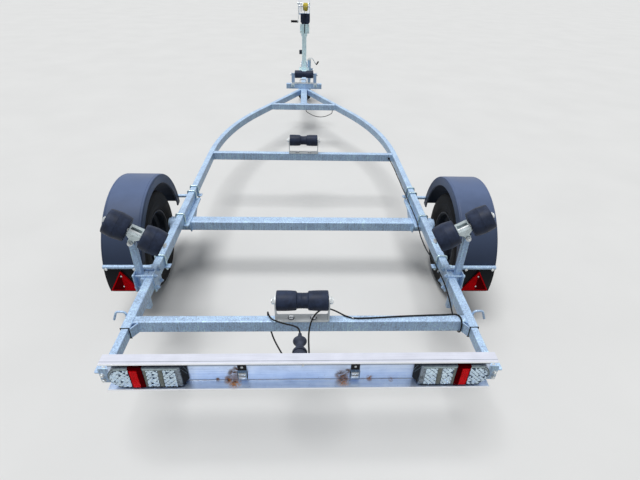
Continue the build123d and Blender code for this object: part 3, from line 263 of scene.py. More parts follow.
def bright_zinc(name, colour):
    """Thin smooth zinc plate with faint brush marks and dulled patches."""
    finish = Finish(name, Metallic=0.7, Roughness=0.3)
    brush = finish.noise(1.0, 2.0, 0.5, (420.0, 90.0, 420.0))
    clouds = finish.noise(38.0, 4.0, 0.6)
    tone = finish.span(finish.calc("ADD", brush, clouds), 0.7, 1.3)
    colour = finish.shades(tone, colour, (0.0, 0.72), (0.5, 1.0), (1.0, 1.2))
    return finish.coat(colour, finish.span(clouds, 0.3, 0.7, 0.22, 0.42), brush, 0.08, 0.0006)


def bracket_zinc(name, foot, leg):
    """Keel brackets: near-white smooth feet, and duller legs on the front one."""
    finish = Finish(name, Metallic=0.1, Roughness=0.45)
    fine = finish.noise(60.0, 3.0, 0.6)
    ahead = finish.calc("GREATER_THAN", finish.y, REAR + 4.0)
    legs = finish.calc("MULTIPLY", finish.span(finish.z, 0.534, 0.540), ahead)
    colour = finish.mix(finish.span(fine, 0.3, 0.8, 0.0, 0.12), finish.mix(legs, foot, leg), shade(leg, 0.7))
    return finish.coat(colour, None, fine, 0.05, 0.0005)


def board_metal(name, colour, rust):
    """Light board: pale worn flange with painted shade in its groove and a near-white rear lip as a painted
    highlight, bluish web with a painted shadow band under the flange and a dark line along its crease, rust
    beside the clips.
    """
    finish = Finish(name, Metallic=0.3, Roughness=0.4)
    grain = finish.noise(1.0, 3.0, 0.6, (6.0, 240.0, 240.0))
    clouds = finish.noise(14.0, 4.0, 0.6)
    specks = finish.noise(150.0, 5.0, 0.72)
    blots = finish.noise(52.0, 3.0, 0.6)
    tone = finish.span(finish.calc("ADD", grain, clouds), 0.65, 1.35)
    # Flange top below the strips: its exposed groove takes a darker grey as painted shade.
    top = finish.calc("GREATER_THAN", finish.z, 0.5632)
    rear_lip = finish.calc("LESS_THAN", finish.y, REAR + 0.001)
    crease = finish.calc("MULTIPLY", finish.span(finish.z, 0.4258, 0.4246),
                         finish.calc("GREATER_THAN", finish.y, REAR + 0.0402))
    metal = finish.ramp(tone, (0.0, (0.50, 0.60, 0.78)), (0.5, (0.64, 0.75, 0.94)), (1.0, (0.80, 0.88, 1.0)))
    # Painted shadow: the web darkens to near black just under the flange.
    layers = ((finish.span(finish.z, 0.4975, 0.5060, 0.0, 0.85), (0.05, 0.06, 0.08)),
              (finish.calc("MULTIPLY", crease, 0.7), (0.10, 0.14, 0.22)),
              (finish.calc("MULTIPLY", finish.span(specks, 0.655, 0.70), 0.7), (0.06, 0.07, 0.10)),
              # Painted shade in the flange's groove.
              (top, finish.ramp(tone, (0.0, (0.30, 0.34, 0.40)), (1.0, (0.46, 0.50, 0.58)))),
              (finish.calc("GREATER_THAN", finish.z, 0.5643),
               finish.shades(tone, colour, (0.0, 0.9), (0.5, 1.0), (1.0, 1.1))),
              # Painted highlight: the rear lip of the flange in near white.
              (rear_lip, (0.94, 0.96, 1.0)))
    for share, layer in layers:
        metal = finish.mix(share, metal, layer)
    stain = None
    for x, station, z, reach in RUST_SPOTS:
        away = finish.add("ShaderNodeVectorMath", {0: finish.place, 1: (x, REAR + station, z)},
                          operation="DISTANCE").outputs["Value"]
        near = finish.span(away, reach, reach * 0.25)
        stain = near if stain is None else finish.calc("MAXIMUM", stain, near)
    spots = finish.span(finish.total((specks, 0.6), (blots, 0.6)), 0.52, 0.60)
    marks = finish.calc("MULTIPLY", crease, finish.span(specks, 0.50, 0.58))
    rusty = finish.calc("MAXIMUM", finish.calc("MULTIPLY", stain, spots), finish.calc("MULTIPLY", marks, 0.2))
    tint = finish.mix(finish.span(finish.z, 0.450, 0.434), shade(rust, 0.45), rust)
    tint = finish.mix(finish.span(specks, 0.56, 0.44), tint, (0.07, 0.03, 0.02))
    plate = finish.span(finish.calc("SUBTRACT", top, rear_lip), 0.0, 1.0, 0.9, 0.1)
    finish.link("Metallic", finish.calc("MULTIPLY", plate, finish.calc("SUBTRACT", 1.0, rusty)))
    return finish.coat(finish.mix(rusty, metal, tint), finish.span(rusty, 0.0, 1.0, 0.40, 0.85),
                       finish.calc("ADD", grain, rusty), 0.10, 0.0008)


def moulded(name, colour, roughness, grain, cloud):
    """Moulded plastic or rubber: fine grain, faint cloudy wear and a little dust."""
    finish = Finish(name, Roughness=roughness, Specular_IOR_Level=0.2)
    fine = finish.noise(grain, 2.0, 0.6)
    clouds = finish.noise(cloud, 4.0, 0.62)
    colour = finish.shades(finish.span(clouds, 0.35, 0.72), colour, (0.0, 0.7), (0.5, 1.0), (1.0, 1.48))
    rough = finish.span(clouds, 0.3, 0.7, roughness - 0.07, roughness + 0.09)
    return finish.coat(colour, rough, fine, 0.25, 0.0004)


def mudguard_plastic(name, colour):
    """Slate plastic in cloudy dusty patches, pale on top of the arch as a painted sheen, darker down its ends
    as painted shade, and near black on the rear flap as a painted shadow.
    """
    finish = Finish(name, Roughness=0.40, Specular_IOR_Level=0.12)
    fine = finish.noise(420.0, 2.0, 0.6)
    clouds = finish.noise(7.0, 4.0, 0.62)
    # Painted sheen and shade: lighter up the arch, darker down its ends, broken up by cloudy dust.
    height = finish.calc("ADD", finish.span(finish.z, 0.40, 0.70), finish.calc("MULTIPLY", clouds, 0.3))
    tone = finish.shades(finish.span(height, 0.15, 1.15), colour, (0.0, 0.6), (0.65, 1.0), (1.0, 2.1))
    # Painted shadow: the rear flap below the stay goes near black.
    flap = finish.calc("MULTIPLY", finish.span(finish.z, 0.400, 0.384),
                       finish.calc("LESS_THAN", finish.y, REAR + AXLE_STATION))
    colour = finish.mix(finish.calc("MULTIPLY", flap, 0.95), tone, (0.004, 0.005, 0.007))
    return finish.coat(colour, finish.span(clouds, 0.3, 0.7, 0.34, 0.50), fine, 0.25, 0.0004)


def dusty_sheened_rubber(name, colour):
    """Tyre rubber with dust in patches, and the outer faces of the tread ribs lighter bluish grey as a
    painted sheen.
    """
    finish = Finish(name, Roughness=0.8, Specular_IOR_Level=0.12)
    fine = finish.noise(300.0, 3.0, 0.6)
    clouds = finish.noise(16.0, 5.0, 0.65)
    forward = finish.calc("SUBTRACT", finish.y, REAR + AXLE_STATION)
    up = finish.calc("SUBTRACT", finish.z, AXLE_Z)
    spread = finish.calc("ADD", finish.calc("MULTIPLY", forward, forward), finish.calc("MULTIPLY", up, up))
    # Painted sheen on the outer faces of the tread ribs.
    tread = finish.span(finish.calc("SQRT", spread), 0.2955, 0.2995)
    dust = finish.span(finish.calc("ADD", clouds, finish.calc("MULTIPLY", fine, 0.3)), 0.56, 0.95)
    colour = finish.mix(finish.calc("MULTIPLY", tread, 0.6), finish.mix(dust, colour, (0.040, 0.040, 0.040)),
                        (0.075, 0.082, 0.095))
    return finish.coat(colour, finish.span(dust, 0.0, 1.0, 0.62, 0.92), fine, 0.3, 0.0006)


def clear_lens(name, tint, dark, metal):
    """Silvery facets seen through a clear lens, with painted light making them bright above and dark below.
    """
    finish = Finish(name, Metallic=metal, Roughness=0.25, Specular_IOR_Level=0.2)
    glint = finish.flakes(170.0)
    # Painted light from above: lighter towards the lamp's top, darker towards its bottom.
    height = finish.span(finish.z, LAMP_LOW, LAMP_TOP, -0.22, 0.16)
    tone = finish.calc("ADD", finish.total((glint, 0.8), (finish.noise(420.0, 2.0, 0.5), 0.3)), height)
    colour = finish.ramp(finish.span(tone, 0.2, 0.85), (0.0, dark), (0.45, shade(tint, 0.8)), (1.0, tint))
    return finish.coat(colour, None, glint, 0.3, 0.001)


def red_lens(name, colour, metal):
    """Deep red plastic over fine prisms, which throw light back where they are bright."""
    finish = Finish(name, Metallic=metal, Roughness=0.4, Specular_IOR_Level=0.0)
    prisms = finish.flakes(260.0)
    tone = finish.span(finish.total((prisms, 0.5), (finish.noise(20.0, 2.0, 0.5), 0.5)), 0.2, 0.8)
    return finish.coat(finish.shades(tone, colour, (0.0, 0.55), (0.5, 1.0), (1.0, 1.35)), None, prisms, 0.2,
                       0.0006)


def woven_strap(name, colour):
    """Polyester webbing: fine crossing threads and cloudy darker patches."""
    finish = Finish(name, Roughness=0.85, Sheen_Weight=0.2)
    waves = []
    for scale, axis in ((420.0, "X"), (300.0, "Z")):
        inputs = {"Vector": finish.place, "Scale": scale, "Distortion": 0.6}
        waves.append(finish.add("ShaderNodeTexWave", inputs, bands_direction=axis).outputs["Fac"])
    weave = finish.calc("MULTIPLY", *waves)
    tone = finish.total((weave, 0.45), (finish.noise(60.0, 4.0, 0.6), 0.55))
    return finish.coat(finish.shades(tone, colour, (0.15, 0.45), (0.5, 1.0), (0.85, 1.2)), None, weave, 0.5,
                       0.0006)


# Mesh helpers

def fit(name, bm, finish, body="frame", crease=35.0, replaces=(), second=None):
    """Turn a bmesh into a piece that rides on a body, with a second finish for its faces of index 1."""
    bmesh.ops.remove_doubles(bm, verts=bm.verts, dist=1e-6)
    bmesh.ops.recalc_face_normals(bm, faces=bm.faces)
    mesh = bpy.data.meshes.new(name)
    bm.to_mesh(mesh)
    bm.free()
    mesh.shade_smooth()
    mesh.set_sharp_from_angle(angle=math.radians(crease))
    mesh.materials.append(FINISHES[finish])
    if second:
        mesh.materials.append(FINISHES[second])
    piece = bpy.data.objects.new(name, mesh)
    bpy.context.scene.collection.objects.link(piece)
    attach(piece, body)
    if replaces:
        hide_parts(*replaces)


def both_ways(profile):
    """Profile of one half and its mirror image, of (radius, distance along the axis)."""
    return profile + [(r, -a) for r, a in reversed(profile)]


def lathe(bm, profile, centre, axis, steps, angle=360.0, start=None, closed=True):
    """Spin a profile of (radius, distance along the axis) round an axis through the centre."""
    axis = Vector(axis).normalized()
    if start is None:
        start = Vector((0, 0, 1)) if abs(axis.z) < 0.9 else Vector((0, 1, 0))
        start = (start - axis * start.dot(axis)).normalized()
    verts = [bm.verts.new(Vector(centre) + start * r + axis * a) for r, a in profile]
    pairs = list(zip(verts, verts[1:])) + ([(verts[-1], verts[0])] if closed else [])
    edges = [bm.edges.new(pair) for pair in pairs]
    full = angle >= 360.0
    made = bmesh.ops.spin(bm, geom=verts + edges, cent=centre, axis=axis, angle=math.radians(angle),
                          steps=steps, use_merge=full, use_normal_flip=False, use_duplicate=False)
    if not full:
        for end in (verts, [v for v in made["geom_last"] if isinstance(v, bmesh.types.BMVert)]):
            bmesh.ops.contextual_create(bm, geom=end)


def solid(bm, profile, centre, axis, steps):
    """Solid of revolution, from a profile that starts and ends on the axis."""
    lathe(bm, profile, centre, axis, steps, closed=False)


def disc(bm, centre, axis, radius, thick, inner, steps, edge=0.0):
    """Washer or plate round an axis, its near face on the centre."""
    profile = [(inner, 0.0), (radius, 0.0), (radius, thick - edge), (radius - edge, thick), (inner, thick)]
    lathe(bm, profile, centre, axis, steps, closed=inner > 0)


def round_edges(bm, verts, offset, segments):
    """Bevel every edge at the vertices."""
    edges = list({e for v in verts for e in v.link_edges})
    bmesh.ops.bevel(bm, geom=edges, offset=offset, segments=segments, profile=0.5, affect="EDGES",
                    material=-1)


def nut(bm, centre, axis, across, thick):
    """Six-sided nut with chamfered corners, its near face on the centre."""
    axis = Vector(axis).normalized()
    turned = axis.to_track_quat("Z", "Y").to_matrix().to_4x4()
    place = Matrix.Translation(Vector(centre) + axis * thick / 2) @ turned
    radius = across / math.sqrt(3)
    made = bmesh.ops.create_cone(bm, cap_ends=True, segments=6, radius1=radius, radius2=radius, depth=thick,
                                 matrix=place)
    round_edges(bm, made["verts"], 0.0008, 1)


def washer_nut(bm, centre, axis, washer, across, thick, steps=20, inner=0.0):
    """Nut on a washer of (radius, thickness, height of the nut's foot)."""
    radius, thin, foot = washer
    disc(bm, centre, axis, radius, thin, inner, steps, 0.0005)
    nut(bm, centre + Vector(axis) * foot, axis, across, thick)


def threads(bm, start, axis, radius, length):
    """Threaded end of a bolt: close rings with a small point at the end."""
    turns = max(3, int(length / 0.00175))
    profile = [(0.0, 0.0)]
    for index in range(turns):
        a = length * index / turns
        profile += [(radius * 0.9, a), (radius * 1.03, a + length / turns / 2)]
    solid(bm, profile + [(radius * 0.85, length), (0.0, length)], start, axis, 14)


def block(bm, centre, size, bevel=0.0, segments=2, turn=None):
    """Box with rounded edges."""
    place = Matrix.Translation(centre) @ (turn or Matrix.Identity(4)) @ Matrix.Diagonal((*size, 1.0))
    made = bmesh.ops.create_cube(bm, size=1.0, matrix=place)
    if bevel:
        round_edges(bm, made["verts"], bevel, segments)


def prism(bm, points, along, bevel=0.0):
    """Flat outline of points in space, drawn out along a vector."""
    face = bm.faces.new([bm.verts.new(p) for p in points])
    made = bmesh.ops.extrude_face_region(bm, geom=[face])
    moved = [v for v in made["geom"] if isinstance(v, bmesh.types.BMVert)]
    bmesh.ops.translate(bm, verts=moved, vec=along)
    if bevel:
        round_edges(bm, set(moved) | set(face.verts), bevel, 2)


def tube(bm, points, radii, sides):
    """Round rod through points, with a radius at each."""
    points = [Vector(p) for p in points]
    radii = [radii] * len(points) if isinstance(radii, float) else radii
    rings = []
    for index, point in enumerate(points):
        along = points[min(index + 1, len(points) - 1)] - points[max(index - 1, 0)]
        place = Matrix.Translation(point) @ along.to_track_quat("Z", "Y").to_matrix().to_4x4()
        made = bmesh.ops.create_circle(bm, segments=sides, radius=radii[index], matrix=place,
                                       cap_ends=index in (0, len(points) - 1))
        rings.append(list({e for v in made["verts"] for e in v.link_edges}))
    for first, second in zip(rings, rings[1:]):
        bmesh.ops.bridge_loops(bm, edges=first + second)


def weld(bm, start, end, radius, chance):
    """Rippled bead of weld between two points."""
    count = max(3, int((end - start).length / 0.0042))
    points = [start.lerp(end, i / count) for i in range(count + 1)]
    radii = [radius * (0.78 + 0.30 * (i % 2) + chance.uniform(-0.08, 0.08)) for i in range(count + 1)]
    tube(bm, points, radii, 6)


def facets(bm, outline, station, cell, height, turn, strokes=None):
    """Panel of small pyramids that faces the rear, cut to a convex outline of (X, Z).

    Given a random source, the faces that look down to one side mostly take the piece's second finish as
    painted shade, and a few others take it too.
    """
    xs, zs = zip(*outline)
    middle = Vector(((min(xs) + max(xs)) / 2, station + REAR, (min(zs) + max(zs)) / 2))
    reach = math.hypot(max(xs) - min(xs), max(zs) - min(zs)) / 2 + cell
    count = int(2 * reach / cell)
    upright = Matrix.Rotation(math.radians(90), 4, "X") @ Matrix.Rotation(math.radians(turn), 4, "Z")
    made = bmesh.ops.create_grid(bm, x_segments=count, y_segments=count, size=reach,
                                 matrix=Matrix.Translation(middle) @ upright)
    made = bmesh.ops.poke(bm, faces=list({f for v in made["verts"] for f in v.link_faces}))
    bmesh.ops.translate(bm, verts=made["verts"], vec=(0, -height, 0))
    if strokes:
        for face in sorted(made["faces"], key=lambda face: face.calc_center_median()[:]):
            face.normal_update()
            # Faces that look down to one side mostly take the second finish: painted shade.
            way = math.degrees(math.atan2(face.normal.z, face.normal.x)) - turn
            share = {2: 0.95, 3: 0.45}.get(int(way // 90) % 4, 0.06)
            face.material_index = int(strokes.random() < share)
    verts = {v for f in made["faces"] for v in f.verts}
    centre = Vector((sum(xs) / len(xs), 0, sum(zs) / len(zs)))
    for (ax, az), (bx, bz) in zip(outline, outline[1:] + outline[:1]):
        normal = Vector((bz - az, 0, ax - bx))
        if normal.dot(Vector((ax, 0, az)) - centre) < 0:
            normal.negate()
        live = [v for v in verts if v.is_valid]
        geom = set(live) | {e for v in live for e in v.link_edges} | {f for v in live for f in v.link_faces}
        made = bmesh.ops.bisect_plane(bm, geom=list(geom), dist=1e-6, plane_co=(ax, station + REAR, az),
                                      plane_no=normal, clear_outer=True)
        cut = {v for v in made["geom_cut"] if isinstance(v, bmesh.types.BMVert)}
        verts = {v for v in live if v.is_valid} | cut


# Finishes of the model's nodes: finish, nodes
NODE_FINISHES = (
    ("galvanised", "rail_left rail_right cross_members drawbar front_tie axle_beam light_arms mudguard_stays "
                   "roller_posts winch_frame coupling jockey_clamp jockey_tube board_brackets post_clamps "
                   "jockey_leg jockey_fork tie_down_hooks post_under_plate swing_arms"),
    ("bolt", "frame_bolts"),
    ("bright", "roller_pins roller_axle_left roller_axle_right winch_drum winch_crank coupling_handle "
               "jockey_handles hub_left hub_right strap_hook"),
    ("bracket", "keel_brackets"),
    ("post", "winch_post bow_stop_bracket"),
    ("cradle", "roller_cradle_left roller_cradle_right"),
    ("board", "light_board"),
    ("guard", "mudguards"),
    ("roller", "keel_roller_rear keel_roller_middle keel_roller_front side_roller_inner_left "
               "side_roller_outer_left side_roller_inner_right side_roller_outer_right bow_stop"),
    ("tyre", "tyre_left tyre_right jockey_wheel"),
    ("rim", "rim_left rim_right"),
    ("housing", "lamps"),
    ("red", "reflectors"),
    ("plug", "plug_sockets board_plug"),
    ("strap", "strap_coil"),
    ("cable", "board_lead rail_harness drawbar_lead"),
)
FINISHES = {}


class TRAILER_OT_finishes(bpy.types.Operator):
    """Make every finish and put it on the model's nodes"""

    bl_idname = "trailer.finishes"
    bl_label = "Finishes"

    def execute(self, context):
        colours = context.scene.trailer_colours
        zinc, black = tuple(colours.galvanised), (0.010, 0.010, 0.012)
        FINISHES.update(
            galvanised=galvanised_steel("galvanised_steel", zinc),
            bright=bright_zinc("bright_zinc", tuple(colours.bright)),
            cradle=bright_zinc("cradle_zinc", (0.58, 0.66, 0.68)),
            knob=bright_zinc("knob_zinc", (0.84, 0.88, 0.92)),
            bracket=bracket_zinc("bracket_zinc", (0.95, 0.99, 1.0), shade(zinc, 0.9)),
            bolt=bright_zinc("bolt_zinc", (0.50, 0.64, 0.68)),
            # Brighter, more metallic copy of the galvanised finish for the winch post and its bow stop
            # bracket: painted light on their front-lit faces.
            post=galvanised_steel("post_zinc", (0.72, 0.94, 1.0), 170.0, 0.9, 0.6),
            board=board_metal("board_metal", tuple(colours.board), tuple(colours.rust)),
            guard=mudguard_plastic("mudguard_plastic", tuple(colours.plastic)),
            roller=moulded("roller_rubber", tuple(colours.rubber), 0.5, 300.0, 30.0),
            tyre=dusty_sheened_rubber("tyre_rubber", black),
            # Rim steel coloured near black: painted shade of the rims in shadow.
            rim=moulded("rim_steel", (0.040, 0.046, 0.060), 0.5, 300.0, 20.0),
            housing=clear_lens("lamp_housing", (0.34, 0.40, 0.48), (0.10, 0.12, 0.14), 0.4),
            lens=clear_lens("clear_lens", (0.72, 0.88, 1.0), (0.50, 0.64, 0.84), 0.85),
            # Dark blue second finish of the lamp facets: painted shade on the faces that look down to one
            # side.
            stroke=clear_lens("lens_stroke", (0.10, 0.15, 0.24), (0.01, 0.02, 0.04), 0.2),
            glass=clear_lens("lens_edge", (0.50, 0.62, 0.66), (0.24, 0.32, 0.36), 0.5),
            bars=moulded("lamp_bars", (0.30, 0.32, 0.29), 0.4, 500.0, 60.0),
            red=red_lens("red_lens", tuple(colours.red), 0.25),
            # Lit and shaded copies of the red lens: a brighter, more metallic red as painted light, and a
            # dark red as painted shade.
            glow=red_lens("bright_red_lens", shade(tuple(colours.red), 1.1), 0.7),
            dark_red=red_lens("dark_red_lens", (0.14, 0.001, 0.004), 0.0),
            plug=moulded("plug_rubber", (0.050, 0.058, 0.088), 0.55, 350.0, 40.0),
            strap=woven_strap("woven_strap", tuple(colours.strap)),
            cable=moulded("cable_sheath", black, 0.5, 600.0, 50.0),
            black=moulded("black_plastic", black, 0.5, 500.0, 30.0),
            weld=galvanised_steel("weld_zinc", shade(zinc, 0.9), 240.0, 1.2),
        )
        for finish, names in NODE_FINISHES:
            for name in names.split():
                slots = NODES[name].data.materials
                slots.clear()
                slots.append(FINISHES[finish])
        return {"FINISHED"}


# Cables: name, length in metres, and X, station and Z of the route's points in millimetres
ROUTES = (
    ("board_lead", 0.645, (
        (-9, 202.3, 500), (-11, 232, 499), (-36, 254, 494), (-70, 267, 490), (-104, 285, 486),
        (-132, 306, 481), (-146, 336, 477), (-152, 365, 471), (-153, 373, 433), (-148, 361, 396),
        (-137, 322, 389), (-120, 268, 394), (-98, 212, 406), (-77, 156, 425), (-62, 101, 447),
        (-57, 46, 460))),
    ("rail_harness", 2.957, (
        (30, 45.5, 470), (29, 92, 466), (27, 148, 463), (26, 204, 464), (28, 252, 470), (38, 296, 479),
        (56, 333, 485), (84, 362, 484), (116, 374, 478), (150, 362, 472), (186, 336, 468.6), (219, 323, 468),
        (262, 322, 468.4), (335, 327, 467.8), (430, 334, 468.4), (522, 339, 467.8), (570, 341, 468.3),
        (628, 342, 468), (690, 348, 469), (692, 295, 473), (692.3, 294, 395), (693, 352, 393),
        (696, 410, 401), (700, 470, 416), (703, 540, 429), (705.5, 606, 432), (705, 672, 431),
        (703.5, 735, 428), (702.3, 793, 429.5), (700, 862, 417), (698.5, 930, 406), (699.5, 1000, 402),
        (698.5, 1070, 405), (700.5, 1140, 417), (702.2, 1207, 429.5), (701.4, 1290, 432),
        (702.2, 1370, 430.5), (701.4, 1445, 431.5), (702.2, 1512, 430), (702, 1586, 431), (701, 1672, 427),
        (702, 1765, 430), (700.8, 1860, 427), (701.6, 1955, 430), (700.4, 2045, 428), (697, 2122, 430),
        (692, 2189.5, 431))),
    ("drawbar_lead", 0.391, (
        (313.8, 3668, 404), (313.8, 3668, 376), (314, 3656, 350), (280, 3647, 333), (238, 3641, 317),
        (191, 3640, 310), (144, 3641, 313), (100, 3644, 326), (62, 3648, 344), (30, 3652, 362),
        (22, 3655, 378), (22, 3655, 394))),
)


class TRAILER_OT_cables(bpy.types.Operator):
    """Lay the three cables along their routes"""

    bl_idname = "trailer.cables"
    bl_label = "Cables"

    def execute(self, context):
        size = context.scene.trailer_sizes.cable
        for name, length, route in ROUTES:
            points = [spot(x / 1000, y / 1000, z / 1000) for x, y, z in route]
            curve = bpy.data.curves.new(name + "_cable", "CURVE")
            curve.dimensions = "3D"
            curve.bevel_depth = size / 2
            curve.bevel_resolution = 4
            curve.resolution_u = 8
            curve.use_fill_caps = True
            line = curve.splines.new("NURBS")
            line.points.add(len(points) - 1)
            for point, place in zip(line.points, points):
                point.co = (*place, 1.0)
            line.order_u = 3
            line.use_endpoint_u = True
            curve.materials.append(FINISHES["cable"])
            piece = bpy.data.objects.new(name + "_cable", curve)
            context.scene.collection.objects.link(piece)
            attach(piece, "frame")
            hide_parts(name)
        self.reliefs()
        self.ties()
        return {"FINISHED"}

    def reliefs(self):
        """Ribbed boots of two cables behind the light board, and grommets where others enter the frame."""
        bm = bmesh.new()
        boot = [(0.0037, 0.0), (0.0105, 0.0), (0.0105, 0.0025), (0.0086, 0.0035)]
        for index in range(6):
            a, radius = 0.0055 + 0.0034 * index, 0.0082 - 0.00052 * index
            boot += [(radius, a), (radius, a + 0.0018)]
            boot += [(radius - 0.0010, a + 0.0023), (radius - 0.0010, a + 0.0029)]
        boot += [(0.0048, 0.0275), (0.0037, 0.0275)]
        lathe(bm, boot, spot(-0.057, 0.0452, 0.460), (-0.005, 0.055, -0.013), 28)
        lathe(bm, boot, spot(0.030, 0.0452, 0.470), (-0.001, 0.0465, -0.004), 28)
        grommet = [(0.0037, 0.0), (0.009, 0.0), (0.009, 0.002), (0.0065, 0.0045), (0.0055, 0.008),
                   (0.0037, 0.008)]
        for place, axis in ((spot(0.692, 2.190, 0.431), (0, -1, 0)), (spot(0.022, 3.655, 0.394), (0, 0, -1)),
                            (spot(0.3138, 3.668, 0.404), (0, 0, -1))):
            lathe(bm, grommet, place, axis, 20)
        fit("cable_grommets", bm, "black")

    def ties(self):
        """Bright straps that hold the harness to the frame."""
        bm = bmesh.new()
        ring = [(0.0036, -0.002), (0.0052, -0.002), (0.0052, 0.002), (0.0036, 0.002)]
        for x, station, z in ((0.219, 0.323, 0.468), (0.702, 0.700, 0.4295), (0.7015, 1.400, 0.431),
                              (0.7015, 1.900, 0.4285)):
            lathe(bm, ring, spot(x, station, z), (1, 0, 0) if station < 0.5 else (0, 1, 0), 16)
            block(bm, spot(x - 0.003, station - 0.001, z + 0.006), (0.005, 0.005, 0.004), 0.0008)
        fit("cable_ties", bm, "bright")


# Tyres, rims and mudguards

class TRAILER_OT_wheels(bpy.types.Operator):
    """Dress both road wheels: grooved tyres, wheel bolts and valves"""

    bl_idname = "trailer.wheels"
    bl_label = "Wheels"

    def execute(self, context):
        sizes = context.scene.trailer_sizes
        for name, side in (("left", -1), ("right", 1)):
            centre = spot(side * TRACK_X, AXLE_STATION, AXLE_Z)
            self.tyre(name, centre, sizes.tread_depth, 2 * sizes.tread_pitches)
            bm = bmesh.new()
            for index in range(4):
                turn = math.radians(45 + 90 * index)
                place = centre + Vector((side * 0.026, 0.049 * math.cos(turn), 0.049 * math.sin(turn)))
                solid(bm, [(0.0, 0.0), (0.011, 0.0), (0.011, 0.003), (0.0085, 0.006), (0.0, 0.006)], place,
                      (side, 0, 0), 18)
                nut(bm, place + Vector((side * 0.005, 0, 0)), (side, 0, 0), 0.017, 0.012)
            fit("wheel_bolts_" + name, bm, "bright", "wheel_" + name)
            bm = bmesh.new()
            solid(bm, [(0.0, 0.0), (0.0065, 0.0), (0.0058, 0.008), (0.0040, 0.012), (0.0036, 0.026),
                       (0.0046, 0.027), (0.0046, 0.037), (0.0, 0.038)],
                  centre + Vector((side * 0.018, 0.137, 0)), (side, -0.12, 0), 16)
            fit("tyre_valve_" + name, bm, "black", "wheel_" + name)
        return {"FINISHED"}

    def tyre(self, name, centre, deep, steps):
        """Tyre with four grooves round it and cut shoulders."""
        outer, half, rim = 0.302, 0.080, 0.172
        tread = outer - deep
        profile = [(rim, 0.054), (rim + 0.007, 0.063), (rim + 0.014, 0.066), (rim + 0.018, 0.0695),
                   (rim + 0.021, 0.069), (rim + 0.032, 0.0755), (rim + 0.050, half - 0.0008),
                   (rim + 0.060, half), (rim + 0.074, half - 0.0015), (rim + 0.077, half - 0.0006),
                   (rim + 0.081, half - 0.0022), (outer - 0.030, 0.0745), (outer - 0.019, 0.071),
                   (outer - 0.010, 0.064), (outer - 0.0035, 0.055), (outer - 0.0015, 0.043),
                   (outer - 0.0008, 0.0402), (tread, 0.0388), (tread, 0.0332), (outer - 0.0006, 0.0318),
                   (outer - 0.0004, 0.024), (outer - 0.0008, 0.0162), (tread, 0.0148), (tread, 0.0092),
                   (outer - 0.0006, 0.0078)]
        bm = bmesh.new()
        lathe(bm, both_ways(profile), centre, (1, 0, 0), steps)
        bmesh.ops.remove_doubles(bm, verts=bm.verts, dist=1e-6)
        bmesh.ops.recalc_face_normals(bm, faces=bm.faces)
        shoulder, ribs = [], []
        for face in bm.faces:
            middle = face.calc_center_median() - centre
            reach, across = math.hypot(middle.y, middle.z), abs(middle.x)
            turn = round(math.degrees(math.atan2(middle.z, middle.y)) / (360 / steps) - 0.5)
            if reach > outer - 0.012 and 0.043 < across < 0.066 and turn % 2 == 0:
                shoulder.append(face)
            elif reach > outer - 0.002 and (0.016 < across < 0.032 or across < 0.008):
                if (turn + (1 if middle.x > 0 else 0)) % 3 == 0:
                    ribs.append(face)
        bmesh.ops.inset_individual(bm, faces=shoulder, thickness=0.0012, depth=-0.0045, use_even_offset=True)
        bmesh.ops.inset_individual(bm, faces=ribs, thickness=0.0022, depth=-0.0035, use_even_offset=True)
        fit("grooved_tyre_" + name, bm, "tyre", "wheel_" + name, 30, ("tyre_" + name,))


# Rolled edges of a mudguard: radius from the axle, distance from the middle, thickness
BEADS = ((0.3935, 0.0965, 0.0062), (0.3510, 0.0978, 0.0050), (0.3740, 0.1004, 0.0022))


